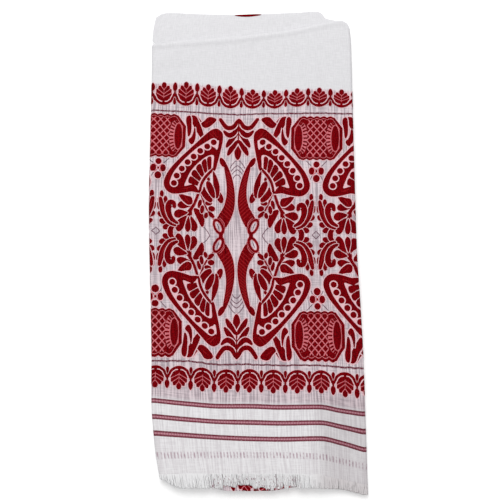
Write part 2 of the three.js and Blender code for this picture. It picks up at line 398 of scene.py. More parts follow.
    def place(self, across: np.ndarray, along: np.ndarray, off: np.ndarray | float = 0) -> np.ndarray:
        """Where points of the flat cloth come to lie.

        Args:
            across: places across the flat cloth.
            along: places along it, from the near end.
            off: distances off its middle surface, towards its face.

        Returns:
            Rows of x, y and z in millimetres, in the strip's own frame.
        """
        across = np.asarray(across, dtype=float)
        along = np.asarray(along, dtype=float)
        off = np.broadcast_to(np.asarray(off, dtype=float), across.shape)
        height, level = self.letter_fold(across, along, off)
        x, z = self.turn_under(across, level)
        return self.lie(x, height, z)


@dataclass(frozen=True)
class Bench:
    """Moves the strip's own frame, in millimetres, to the CAD model's, in metres."""

    fold: Fold
    origin: Vector

    @classmethod
    def over(
        cls, fold: Fold, node: str, samples: tuple[int, int] = (200, 400), gap: float = 0.3
    ) -> "Bench":
        """Lays the strip so that its box has the same middle as a CAD node's.

        Args:
            fold: the cloth's folds.
            node: the CAD node.
            samples: how many places across and along the cloth its box is taken from.
            gap: how far its lowest sheet stays off the node's lowest level, in millimetres.

        Returns:
            The bench.
        """
        across = np.linspace(fold.left_selvedge, fold.right_selvedge, samples[0])
        along = np.linspace(0, fold.length, samples[1])
        grid = np.meshgrid(across, along)
        points = fold.place(grid[0].ravel(), grid[1].ravel())
        low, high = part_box(node)
        middle = (points.min(axis=0) + points.max(axis=0)) / 2 * MM
        origin = [(low[i] + high[i]) / 2 - middle[i] for i in range(2)]
        return cls(fold, Vector((*origin, low[2] + gap * MM)))

    def set(self, mesh: Mesh, off: float = 0) -> None:
        """Takes a flat mesh, in millimetres across and along, onto the folds.

        Args:
            mesh: its vertices' z is a further distance off the cloth's middle surface.
            off: distance off the cloth's middle surface.
        """
        flat = np.empty(len(mesh.vertices) * 3)
        mesh.vertices.foreach_get("co", flat)
        flat = flat.reshape(-1, 3).astype(float)
        placed = self.fold.place(flat[:, 0], flat[:, 1], flat[:, 2] + off) * MM
        mesh.vertices.foreach_set("co", (placed + np.array(self.origin)).ravel())
        mesh.update()


# ---------------------------------------------------------------- meshes


def write_flat_uv(bm: BMesh, fold: Fold) -> None:
    """Gives each corner the flat cloth's place, in cloth lengths, while the mesh is still flat."""
    uv = bm.loops.layers.uv.new("flat")
    for face in bm.faces:
        for loop in face.loops:
            across, along, _ = loop.vert.co
            loop[uv].uv = ((across - fold.left_selvedge) / fold.length, along / fold.length)


def keep_mesh(bm: BMesh, name: str) -> Mesh:
    """Writes a bmesh to a new mesh and frees it."""
    mesh = bpy.data.meshes.new(name)
    bm.to_mesh(mesh)
    bm.free()
    return mesh


def finish_piece(bm: BMesh, name: str, material: Material, smooth: bool = True) -> Object:
    """Makes the bmesh an object with its material.

    Args:
        bm: the shape, freed here.
        name: the piece's name.
        material: its material.
        smooth: whether its faces are shaded as one smooth surface.

    Returns:
        The new object, at the scene's origin.
    """
    mesh = keep_mesh(bm, name)
    mesh.materials.append(material)
    mesh.polygons.foreach_set("use_smooth", [smooth] * len(mesh.polygons))
    piece = bpy.data.objects.new(name, mesh)
    bpy.context.scene.collection.objects.link(piece)
    return piece


def cut_at(bm: BMesh, axis: int, place: float, keep: int = 0) -> None:
    """Cuts a flat mesh along a straight line.

    Args:
        bm: the mesh.
        axis: 0 for a line at a place across, 1 for one at a place along.
        place: where the line is.
        keep: -1 or 1 to keep only what lies below or above it.
    """
    normal = Vector((axis == 0, axis == 1, 0))
    bmesh.ops.bisect_plane(
        bm,
        geom=[*bm.verts, *bm.edges, *bm.faces],
        plane_co=normal * place,
        plane_no=normal * (-keep or 1),
        clear_outer=keep != 0,
    )


def cut_along(bm: BMesh, axis: int, places: Sequence[float]) -> None:
    """Cuts a flat mesh along straight lines, so that it can bend there."""
    for place in places:
        cut_at(bm, axis, place)


def trim(bm: BMesh, axis: int, low: float, high: float) -> None:
    """Keeps what lies between two lines of a flat mesh."""
    cut_at(bm, axis, low, keep=1)
    cut_at(bm, axis, high, keep=-1)


def spread(start: float, end: float, step: float) -> list[float]:
    """Even places from start to end, about a step apart, ends included."""
    count = max(1, round(abs(end - start) / step))
    return [start + (end - start) * i / count for i in range(count + 1)]


# ---------------------------------------------------------------- drawing the figures


# How far a ribbon's end comes to a point, as a share of its width there.
RIBBON_END = 0.4
# Where a leaf's sides have corners, as shares of its length, and how blunt its ends are.
LEAF_SHARES = (0.06, 0.18, 0.32, 0.46, 0.6, 0.74, 0.87, 0.96)
LEAF_FULLNESS = 0.55
OVAL_SIDES = 12


class Ink(Enum):
    """What an outline lays over those before it."""

    BARE = 0
    RED = 1
    MAUVE = 2
    PALE = 3
    BRIGHT = 4
    ROSE = 5


@dataclass(frozen=True)
class Outline:
    """A closed outline filled with one ink."""

    points: tuple[Point, ...]
    ink: Ink = Ink.RED

    def ring(self) -> tuple[Point, ...]:
        """Its points, anticlockwise."""
        pairs = zip(self.points, (*self.points[1:], self.points[0]))
        area = sum(x0 * y1 - x1 * y0 for (x0, y0), (x1, y1) in pairs)
        return self.points if area > 0 else self.points[::-1]


def curve_through(points: Points, steps: int = 3, closed: bool = False) -> list[Point]:
    """A smooth curve through points.

    Args:
        points: what it passes through.
        steps: how many stretches it has from one point to the next.
        closed: whether it comes back to the first point.

    Returns:
        The points along it.
    """
    count = len(points)
    ring = [points[i % count] for i in range(-1, count + 2)] if closed else None
    row = ring or [points[0], *points, points[-1]]
    found = []
    for near in zip(row, row[1:], row[2:], row[3:]):
        for step in range(steps):
            t = step / steps
            weights = (
                (-t + 2 * t**2 - t**3) / 2,
                (2 - 5 * t**2 + 3 * t**3) / 2,
                (t + 4 * t**2 - 3 * t**3) / 2,
                (t**3 - t**2) / 2,
            )
            found.append(tuple(sum(w * point[k] for w, point in zip(weights, near)) for k in (0, 1)))
    return found if closed else [*found, tuple(points[-1])]


def aside(start: Point, end: Point) -> Point:
    """The direction to the left of a line, one long."""
    dx, dy = end[0] - start[0], end[1] - start[1]
    length = math.hypot(dx, dy) or 1
    return -dy / length, dx / length


def ribbon(points: Points, widths: Sequence[float], ink: Ink = Ink.RED, steps: int = 3) -> Outline:
    """A band along a smooth middle line.

    Args:
        points: its middle line.
        widths: how wide it is at each point.
        ink: what fills it.
        steps: stretches between points.

    Returns:
        Its outline.
    """
    middle = curve_through(points, steps)
    marks = np.linspace(0, 1, len(widths))
    wide = np.interp(np.linspace(0, 1, len(middle)), marks, widths)
    one, other = [], []
    for i, (x, y) in enumerate(middle):
        nx, ny = aside(middle[max(0, i - 1)], middle[min(len(middle) - 1, i + 1)])
        half = wide[i] / 2
        one.append((x + nx * half, y + ny * half))
        other.append((x - nx * half, y - ny * half))
    ends = []
    for before, (x, y), width in ((middle[-2], middle[-1], wide[-1]), (middle[1], middle[0], wide[0])):
        nx, ny = aside(before, (x, y))
        ends.append((x + ny * width * RIBBON_END, y - nx * width * RIBBON_END))
    return Outline((*one, ends[0], *reversed(other), ends[1]), ink)


def leaf(base: Point, tip: Point, width: float, bow: float = 0, belly: float = 0.5) -> Outline:
    """A leaf or petal.

    Args:
        base: its stalk end.
        tip: its other end.
        width: its greatest width.
        bow: how far its middle line bows to the left of base to tip.
        belly: where it is widest, as a share of its length.

    Returns:
        Its outline, in red.
    """
    (x0, y0), (x1, y1) = base, tip
    nx, ny = aside(base, tip)
    power = math.log(0.5) / math.log(belly)
    one, other = [], []
    for t in LEAF_SHARES:
        half = width / 2 * math.sin(math.pi * t**power) ** LEAF_FULLNESS
        lift = bow * 4 * t * (1 - t)
        x, y = x0 + (x1 - x0) * t + nx * lift, y0 + (y1 - y0) * t + ny * lift
        one.append((x + nx * half, y + ny * half))
        other.append((x - nx * half, y - ny * half))
    return Outline((base, *one, tip, *reversed(other)))


def disc(centre: Point, across: float, up: float, turn: float = 0, ink: Ink = Ink.RED) -> Outline:
    """An oval.

    Args:
        centre: its middle.
        across: half its width.
        up: half its height.
        turn: how far it is turned, anticlockwise, in degrees.
        ink: what fills it.

    Returns:
        Its outline.
    """
    cos, sin = math.cos(math.radians(turn)), math.sin(math.radians(turn))
    angles = np.linspace(0, math.tau, OVAL_SIDES + 1)[:-1]
    ring = [(across * math.cos(angle), up * math.sin(angle)) for angle in angles]
    x0, y0 = centre
    return Outline(tuple((x0 + x * cos - y * sin, y0 + x * sin + y * cos) for x, y in ring), ink)


def diamond(centre: Point, half: float, ink: Ink) -> Outline:
    """A square set on its corner, with its half diagonal."""
    x, y = centre
    return Outline(((x + half, y), (x, y + half), (x - half, y), (x, y - half)), ink)


def bar(start: Point, end: Point, first: float, last: float, ink: Ink = Ink.RED) -> Outline:
    """A straight band, with its width at its start and at its end."""
    return ribbon([start, end], [first, last], ink, steps=1)


def glint(points: Points, width: float, ends: float = 0.4) -> Outline:
    """A thin bright line through three points, narrower at its ends."""
    return ribbon(points, [ends, width, ends], Ink.BRIGHT, steps=2)


def blob(points: Points, ink: Ink = Ink.RED) -> Outline:
    """A smooth closed outline through points."""
    return Outline(tuple(curve_through(points, closed=True)), ink)


def swelled(shape: Outline, gap: float, ink: Ink) -> Outline:
    """An outline drawn outward by a distance, in an ink of its own."""
    ring = shape.ring()
    wider = []
    for i, (x, y) in enumerate(ring):
        nx, ny = aside(ring[i - 1], ring[(i + 1) % len(ring)])
        wider.append((x - nx * gap, y - ny * gap))
    return Outline(tuple(wider), ink)


def edged(shapes: Sequence[Outline], gap: float = 1.3, fuller: float = 0.25) -> list[Outline]:
    """Shapes that each keep a pale edge from those under them.

    Args:
        shapes: the shapes, lowest first.
        gap: the width of the pale edge.
        fuller: how far each shape itself grows.

    Returns:
        A wider pale shape before each of them.
    """
    found = []
    for shape in shapes:
        found += [swelled(shape, gap + fuller, Ink.PALE), swelled(shape, fuller, shape.ink)]
    return found


class Part(Enum):
    """A part of the woven band that one tile repeats over."""

    FIELD = "figures"
    BORDER = "leaf_borders"


class Motif(ABC):
    """A figure of the woven band."""

    @abstractmethod
    def outlines(self) -> list[Outline]:
        """Its outlines, each laid over those before it."""


# A quarter of the field's repeat: x from the horns' axis to the drums', y up from the field's middle line.
HALF_REPEAT = 92.4
HALF_FIELD = 147.3


@dataclass(frozen=True)
class CrownSpray(Motif):
    """The chevrons, leaves and bud on the axis between two horns."""

    def outlines(self) -> list[Outline]:
        """Chevrons at the top, then two pairs of leaves, a stem and a hanging bud."""
        return edged(
            [
                leaf((0, 110), (0, 91.4), 7.6, belly=0.48),
                leaf((-0.8, 116.2), (12, 96.4), 5.6, bow=0.9, belly=0.55),
                leaf((-0.8, 126.4), (14, 106.4), 5.6, bow=0.8, belly=0.58),
                ribbon([(-1, 133), (1.8, 130.2), (5.4, 124), (10, 121.4), (13.8, 122.8), (17.2, 126.4)],
                       [3, 4, 5, 5.6, 4.4, 1.8]),
                ribbon([(-1, 140.8), (1.8, 138.4), (5.6, 132.4), (10, 130.3), (14.4, 131),
                        (18.4, 135.4), (22.2, 140.8)], [3, 3.4, 4.4, 4.7, 4.6, 4, 3.4]),
            ]
        ) + [ribbon([(0, 141), (0, 113)], [1.3, 0.9])]


@dataclass(frozen=True)
class BandLeaves(Motif):
    """The leaves that hang from the top line between the spray and the drum."""

    def outlines(self) -> list[Outline]:
        """A broad leaf on its stalk, and three long ones beside it."""
        return edged(
            [
                ribbon([(43, 132.6), (46, 137), (49.8, 141.4)], [2.4, 1.8, 1.6]),
                blob([(26.8, 139.8), (31, 142.4), (36.4, 142), (40.6, 137.4), (44.6, 133.4),
                      (41.4, 129.8), (37.4, 129.8), (32.6, 133)]),
                blob([(51, 142), (55.8, 142.6), (57, 139.4), (53.2, 131), (48, 122), (43, 116),
                      (41, 118.4), (43.6, 127.4), (47.6, 136.4)]),
                blob([(58.2, 142.4), (61.4, 140.8), (62, 135.6), (60.6, 129), (59.8, 122), (58.8, 117),
                      (56.6, 120.6), (56, 127), (56.2, 133), (56.6, 139)]),
                blob([(51.8, 128.6), (52.8, 122.6), (54.8, 116.6), (58, 113.2), (57.4, 110.2),
                      (54.4, 107.8), (51.6, 112), (50.7, 119.6)]),
            ]
        ) + [glint([(33, 138.4), (37, 136.2), (40.4, 133)], 0.8)]


@dataclass(frozen=True)
class Drum(Motif):
    """A drum seen from the side, with its lacing drawn as a lattice."""

    centre: Point = (HALF_REPEAT, 116.6)
    half_width: float = 30.2
    half_height: float = 26.9
    shoulder: float = 12.6
    crown: float = 20.4
    scallop_pitch: float = 7.9
    scallop_depth: float = 1.8
    rim: float = 2.4
    gap: float = 0.8
    pale_edge: float = 1.1
    crown_steps: int = 36
    head_aside: float = 21.6
    lace_count: int = 11
    lace_turn: float = 0.228
    lace_from: float = -1.14
    lace_ground: Point = (7.9, 20.4)
    lace_foot: Point = (6.3, 18.4)
    lace_tip: Point = (10.2, 21.6)
    skin_edge: Point = (5.4, 17.2)
    skin: Point = (4.5, 16.0)
    lattice_half: float = 11.4
    lattice_across: float = 3.95
    lattice_up: float = 4.5
    lattice_drop: float = 2.9
    lattice_rows: int = 7
    lattice_line: float = 1.15

    def shell(self, inset: float, ink: Ink) -> Outline:
        """The drum's outline, drawn in by a distance."""
        x, y = self.centre
        wide, tall = self.half_width - inset * (1.5 if inset > 0 else 1), self.half_height - inset
        flat, shoulder = self.crown - inset * 0.5, self.shoulder - inset * 0.25
        count = self.crown_steps
        places = [flat - 2 * flat * i / count for i in range(count + 1)]
        waves = [abs(math.cos(math.pi * dx / self.scallop_pitch)) for dx in places]
        crest = [(dx, tall - self.scallop_depth * (1 - wave)) for dx, wave in zip(places, waves)]
        upper = [(wide, shoulder), *crest, (-wide, shoulder)]
        ring = [*upper, *[(-dx, -dy) for dx, dy in upper]]
        return Outline(tuple((x + dx, y + dy) for dx, dy in ring), ink)

    def outlines(self) -> list[Outline]:
        """Shell, then both heads with their lacing, then the lattice."""
        found = [
            self.shell(-self.pale_edge, Ink.PALE),
            self.shell(0, Ink.RED),
            self.shell(self.rim, Ink.ROSE),
            self.shell(self.rim + self.gap, Ink.RED),
        ]
        return [*found, *self.head(-1), *self.head(1), *self.lattice()]

    def head(self, side: int) -> list[Outline]:
        """One end of the drum: its oval skin and the lacing round it."""
        x, y = self.centre
        middle = x + side * self.head_aside

        def spot(half: Point, turn: float) -> Point:
            """A place on an oval round the head's middle."""
            return middle - side * half[0] * math.cos(turn), y + half[1] * math.sin(turn)

        turns = [i * self.lace_turn + self.lace_from for i in range(self.lace_count)]
        ground = [spot(self.lace_ground, turn) for turn in turns]
        return [
            ribbon(ground, [3, *[5.2] * (self.lace_count - 2), 3], Ink.ROSE, steps=1),
            *(bar(spot(self.lace_foot, turn), spot(self.lace_tip, turn), 1.8, 1.5) for turn in turns),
            disc((middle, y), *self.skin_edge, ink=Ink.ROSE),
            disc((middle, y), *self.skin),
        ]

    def lattice(self) -> list[Outline]:
        """The fine rose lines that cross between the heads."""
        x, y = self.centre
        half = self.lattice_half
        rise = half * self.lattice_up / self.lattice_across
        found = []
        for way in (-1, 1):
            for k in range(-self.lattice_rows, self.lattice_rows):
                middle = (2 * k + 1) * self.lattice_up - self.lattice_drop
                clipped = self.clip((-half, middle - way * rise), (half, middle + way * rise))
                if clipped:
                    start, end = [(x + dx, y + dy) for dx, dy in clipped]
                    found.append(bar(start, end, self.lattice_line, self.lattice_line, Ink.ROSE))
        return found

    def clip(self, start: Point, end: Point) -> tuple[Point, ...]:
        """The part of a slanting line that lies inside the drum's crown lines, if any does."""
        limit = self.half_height - self.rim - self.gap - self.scallop_depth
        (x0, y0), (x1, y1) = start, end
        if min(y0, y1) > limit or max(y0, y1) < -limit:
            return ()
        held = [max(-limit, min(limit, y)) for y in (y0, y1)]
        return tuple((x0 + (x1 - x0) * (y - y0) / (y1 - y0), y) for y in held)


@dataclass(frozen=True)
class Hat(Motif):
    """A broad reed hat seen from the side, with its ring of dots and its fan of ribs."""

    dot_radius: float = 3.45
    ring_radius: float = 5.0
    channel_shift: float = 2.0
    channel_width: float = 6.2
    rib_count: int = 5
    rib_profile: Points = (
        # share of the way to the tip, share of its width that a rib stays off its neighbour
        (0.04, 0.12), (0.35, 0.07), (0.75, 0.05), (0.92, 0.1), (1.0, 0.26),
    )
    rib_crown: float = 1.03
    dots: Points = (
        (28.8, 112.2), (36.2, 106.6), (44.2, 100.4), (51.6, 92.8),
        (58.4, 85.4), (64.8, 77.0), (70.4, 68.0), (73.2, 58.8),
    )
    rim_line: Points = (
        (26.4, 81), (31, 76.4), (35.8, 70.6), (39.4, 64.6), (41.6, 58.4), (42.9, 50.4),
    )
    rib_feet: Points = (
        (30.2, 79.6), (34.3, 76.6), (37.8, 72.4), (40.9, 67.4), (43.4, 62.6), (45.4, 57.2),
    )
    rib_tips: Points = ((30.6, 95), (36.6, 92.4), (43, 86.2), (49.4, 78.4), (54.4, 70), (57, 60))

    def outlines(self) -> list[Outline]:
        """The brim, its dots, the fan, the rim and the wing below it."""
        brim = [
            (22.6, 127.2), (19, 123), (18.6, 114), (21.4, 98), (23.8, 87), (26, 78.4), (32, 74),
            (38, 66), (41.4, 57), (43, 50.4), (47.4, 50), (52.6, 50.4), (60, 48.4), (67.4, 46.8),
            (75, 46.4), (81, 49.6), (84.4, 55.6), (84, 63.4), (78.6, 75.2), (67.8, 89), (53.8, 104.2),
            (41.2, 118), (33, 126), (27, 128.8),
        ]
        fan = [
            (27.8, 94.6), (29.6, 96.6), (33.6, 95.8), (38.2, 93), (42.6, 89), (46.8, 84.6), (51.6, 78.6),
            (55.4, 72.2), (58.2, 65.2), (61, 57), (58.6, 56.6), (54.6, 58), (50.4, 58.8), (46.6, 56),
            (44, 52.4), (42, 58.4), (39.4, 64.6), (35.4, 71), (31, 76.4), (28.8, 80), (28.2, 88),
        ]
        found = [*edged([blob(brim)]), blob(fan, Ink.PALE), *self.ribs()]
        found.append(ribbon(self.rim_line, [2.8, 3.0, 3.1, 3.0, 2.8, 2.6]))
        found.append(glint([(62.8, 52.4), (58.6, 53.2), (53, 56)], 0.9))
        found += self.channel()
        found.append(glint([(24, 118), (27, 121), (30.4, 126)], 0.8, 0.5))
        found.append(glint([(27.4, 117.4), (30.4, 120), (34.4, 123.4)], 0.8, 0.5))
        return [*found, *self.wing()]

    def channel(self) -> list[Outline]:
        """The pale channel along the dots, scalloped on its inner side, and the dots in it."""
        ends = (self.dots[0], *self.dots, self.dots[-1])
        outward = []
        for before, (x, y), after in zip(ends, self.dots, ends[2:]):
            nx, ny = aside(before, after)
            outward.append((x + nx * self.channel_shift, y + ny * self.channel_shift))
        mouth = [(23.4, 115), (23.2, 108.6), (24.6, 103.4), (27, 105.4), (30.6, 107.4), (31, 110)]
        return [
            ribbon(outward, [self.channel_width] * len(outward), Ink.PALE),
            blob(mouth, Ink.PALE),
            *(disc(spot, self.ring_radius, self.ring_radius, ink=Ink.PALE) for spot in self.dots),
            *(disc(spot, self.dot_radius, self.dot_radius) for spot in self.dots),
        ]

    def ribs(self) -> list[Outline]:
        """Blunt ribs side by side from the rim line out to the fan's edge."""
        feet, tips = curve_through(self.rib_feet, 8), curve_through(self.rib_tips, 8)

        def spot(line: list[Point], share: float) -> Point:
            """The place a share of the way along a line."""
            at = max(0.0, min(1.0, share)) * (len(line) - 1)
            i = min(int(at), len(line) - 2)
            (x0, y0), (x1, y1) = line[i], line[i + 1]
            return x0 + (x1 - x0) * (at - i), y0 + (y1 - y0) * (at - i)

        found = []
        for i in range(self.rib_count):
            low, high = i / self.rib_count, (i + 1) / self.rib_count
            ring = [(low + narrow / self.rib_count, along) for along, narrow in self.rib_profile]
            ring.append(((low + high) / 2, self.rib_crown))
            ring += [(high - narrow / self.rib_count, along) for along, narrow in self.rib_profile[::-1]]
            points = []
            for share, along in ring:
                (x0, y0), (x1, y1) = spot(feet, share), spot(tips, share)
                points.append((x0 + (x1 - x0) * along, y0 + (y1 - y0) * along))
            found.append(Outline(tuple(points)))
        return found

    def wing(self) -> list[Outline]:
        """The leaves under the rim, on the horn's side."""
        return edged(
            [
                leaf((22.2, 54.4), (16.8, 38.8), 6.4, belly=0.62),
                blob([(41, 49.6), (39.4, 52.4), (38, 57.4), (36.4, 54), (34.4, 50.8), (31.4, 47.6),
                      (28, 43), (29.4, 39.6), (33.6, 41), (37.6, 44.6)]),
                leaf((28.2, 77.4), (22.6, 44.4), 6.4, bow=-1.4, belly=0.62),
                leaf((34.4, 64.6), (25.8, 44.6), 7.0, belly=0.44),
            ],
            0.9,
        ) + [
            disc((33.2, 67), 1.5, 2.0, -20),
            bar((20.4, 49.6), (18.4, 43), 0.8, 0.8, Ink.BRIGHT),
        ]


@dataclass(frozen=True)
class Horn(Motif):
    """A buffalo-horn pipe with its wound body and its bell."""

    body: Points = (
        (14.2, 85.4), (12.2, 78.7), (9.6, 69.4), (7.6, 59), (6.8, 49), (7.3, 39.4), (9.2, 30.6),
        (12.8, 22.6), (17.4, 14),
    )
    widths: tuple[float, ...] = (2.4, 4.8, 6.4, 7.6, 8.9, 10.6, 12.2, 13.8, 14.2)
    wound: tuple[float, float] = (20.0, 80.0)
    winding_pitch: float = 3.75
    winding_width: float = 1.15
    winding_slope: float = 0.95
    winding_share: float = 0.4
    bell: Point = (20.1, 10.6)
    bell_mouth: Point = (20.4, 10.8)
    bell_turn: float = -25.0
    bell_edge: Points = ((19.4, 21.2), (16.6, 18.9), (13.7, 14.4), (13.4, 11.4))

    def outlines(self) -> list[Outline]:
        """Body, windings, mouthpiece and bell."""
        mouthpiece = leaf((12.9, 81.8), (20.2, 93.2), 5.7, bow=-0.5)
        body = ribbon(self.body, self.widths)
        return [
            *edged([mouthpiece]),
            swelled(body, 1.3, Ink.PALE),
            mouthpiece,
            swelled(body, 0.25, Ink.RED),
            *self.windings(),
            ribbon([(13, 20), (14.4, 10), (16.6, 2), (17.2, -2)], [5, 4.2, 3, 2.8]),
            disc(self.bell, 6.2, 10.9, self.bell_turn, Ink.ROSE),
            disc(self.bell, 5.6, 10.2, self.bell_turn),
            ribbon(self.bell_edge, [0.4, 0.7, 0.7, 0.4], Ink.ROSE),
            Outline(((13.6, 6.4), (15.3, 1.6), (15.5, -2), (19.3, -2), (19.5, 1.6), (22.6, 6.4))),
            disc(self.bell_mouth, 3.2, 7.1, self.bell_turn, Ink.ROSE),
            disc(self.bell_mouth, 2.6, 6.4, self.bell_turn, Ink.BARE),
            ribbon([(19.4, 6.8), (20.4, 10.6), (22.2, 14.6)], [0.5, 1.0, 0.5], Ink.MAUVE),
        ]

    def windings(self) -> list[Outline]:
        """The bright slanting lines across the body."""
        middle = sorted((y, x) for x, y in curve_through(self.body, 4))
        heights, places = zip(*middle)
        body_heights = [y for _, y in self.body[::-1]]
        found = []
        for height in np.arange(*self.wound, self.winding_pitch):
            x = float(np.interp(height, heights, places))
            half = float(np.interp(height, body_heights, self.widths[::-1])) * self.winding_share
            rise = half * self.winding_slope
            start, end = (x - half, height - rise), (x + half, height + rise)
            found.append(bar(start, end, self.winding_width, self.winding_width, Ink.BRIGHT))
        return found


@dataclass(frozen=True)
class FlowerSpray(Motif):
    """The flowering stem that grows from the hat's foot, with its scroll."""

    petals: tuple[tuple[Point, Point, float, float, float], ...] = (
        # foot, tip, width, bow, belly
        ((53, 32.6), (67.8, 32.4), 8.6, 1.0, 0.62),
        ((56, 24.4), (71.6, 20.4), 9.4, 0.6, 0.66),
        ((48.4, 30.4), (38.8, 9.4), 8.0, -2.4, 0.44),
        ((52.4, 20.4), (48, 3), 8.2, -0.8, 0.66),
        ((55, 20), (55.9, 1.6), 6.0, 0.0, 0.68),
        ((57, 20.8), (67.4, 1.6), 9.4, 1.6, 0.66),
    )
    twig_leaves: tuple[tuple[Point, float, float, float], ...] = (
        # middle, half width, half height, turn
        ((34.9, 44.8), 3.9, 2.6, 8), ((32.2, 38.2), 3.9, 2.5, -10), ((28.4, 31.8), 3.7, 3.0, 10),
        ((29.2, 24.8), 5.0, 2.2, 42), ((42.4, 36.4), 1.9, 5.2, 12), ((39.4, 30.2), 2.1, 4.8, 6),
        ((34.8, 23.4), 2.0, 3.4, 14),
    )
    frond_leaves: tuple[tuple[Point, float, float, float], ...] = (
        # middle, half width, half height, turn
        ((86.8, 44.8), 2.0, 3.9, 0), ((82.2, 37.4), 2.2, 4.9, 0), ((90, 30.4), 1.4, 4.4, -6),
        ((87.3, 20.2), 3.0, 3.9, -50), ((84.4, 11.8), 4.3, 3.0, 22), ((80.4, 5.8), 4.4, 3.0, -26),
        ((89.8, 38), 1.0, 3.0, 0),
    )

    def outlines(self) -> list[Outline]:
        """Stems, petals, bract, leaves and scroll."""
        found = [
            ribbon([(42.4, 55), (45, 46.4), (48.6, 36), (53.4, 27)], [2.0, 2.4, 2.8, 3.6]),
            disc((54.2, 23.6), 3.0, 4.8, 8),
            ribbon([(42.2, 53), (39.4, 43.4), (35.4, 33.6), (30.8, 25.4), (26.4, 19.8)],
                   [1.5, 1.4, 1.3, 1.1, 0.8]),
        ]
        found += edged([leaf(*petal) for petal in self.petals], 0.9)
        bract = [
            (51, 38.6), (52.6, 43.2), (57, 44.2), (61.6, 45.2), (67.4, 47.6), (64.6, 41.4), (60.4, 37),
            (56.2, 34.2), (52.2, 35),
        ]
        found += edged([blob(bract)])
        found += [
            glint([(54.6, 36.4), (57.4, 40), (60, 42.6)], 0.9, 0.5),
            ribbon([(48.6, 36), (53.4, 27)], [2.8, 3.6]),
        ]
        for leaves in (self.twig_leaves, self.frond_leaves):
            found += edged([disc(*each) for each in leaves], 0.7)
        found += edged(
            [
                ribbon([(71.8, 7.4), (75, 4.2), (75.8, 0), (75.6, -3)], [2.4, 5.0, 5.6, 5.4]),
                ribbon([(70, 8), (77.8, 12), (83.6, 21.2), (86.4, 31), (88.2, 40)],
                       [2.2, 4.6, 5.6, 5.2, 3]),
                ribbon([(67.4, 10.8), (74, 14.8), (77.8, 22), (78.8, 29), (76.6, 34.4), (73.2, 34.2),
                        (71.4, 29.4)], [2.2, 4.4, 5.2, 6.4, 7, 6, 3]),
            ],
            0.9,
        )
        shine = [(72.4, 9.4), (79, 14.6), (83.8, 23), (86.4, 31.4), (87.8, 37)]
        return [*found, ribbon(shine, [0.5, 0.9, 1, 0.9, 0.4], Ink.BRIGHT)]


@dataclass(frozen=True)
class FlowerCross(Motif):
    """The four-petalled flower below the drum, with its crossed stalks."""

    centre: Point = (HALF_REPEAT, 76.4)

    def outlines(self) -> list[Outline]:
        """Stalks, then petals, the lines that cross on them and a dot."""
        x, y = self.centre

        def pair(spots: Points, width: float, ink: Ink) -> list[Outline]:
            """A line through places beside the flower's middle, and its mirror image."""
            sides = [[(x + way * dx, y + dy) for dx, dy in spots] for way in (-1, 1)]
            return [ribbon(side, [width] * len(side), ink) for side in sides]

        petals = [
            disc((x, y + 8), 3.3, 3.5),
            disc((x, y - 9), 3.7, 4.2),
            disc((x - 5.6, y), 3.0, 4.2),
            disc((x + 5.6, y), 3.0, 4.2),
        ]
        return [
            *pair([(0.6, 0), (6, 6), (12, 12.4)], 0.8, Ink.MAUVE),
            *pair([(1.5, -3), (5, -6), (6.8, -10)], 0.8, Ink.MAUVE),
            *edged(petals),
            *pair([(4.4, 5), (0, 0), (-4, -5.4)], 1.0, Ink.ROSE),
            disc((x, y), 1.1, 1.1),
        ]


@dataclass(frozen=True)
class FineLines(Motif):
    """The thin mauve lines that fill the open ground."""

    thread: float = 0.85

    def outlines(self) -> list[Outline]:
        """Chevrons on the horns' axis, a diamond on the drums', and an angle by the horns."""

        def thin(*points: Point) -> Outline:
            """A line one thread wide."""
            return ribbon(points, [self.thread] * len(points), Ink.MAUVE)

        tops = (91.4, 84.5, 79.4)
        return [
            *(thin((-0.4, y), (3.6, y - 2.6), (7.6, y - 8), (8.6, y - 10.5)) for y in tops),
            thin((-0.4, 73.2), (2.4, 72), (4.2, 69.4), (4.8, 67.6)),
            diamond((HALF_REPEAT, 0), 5.0, Ink.MAUVE),
            diamond((HALF_REPEAT, 0), 3.9, Ink.BARE),
            thin((39, 9.8), (36.4, 8.6), (33, 4.6), (30, -0.4)),
        ]


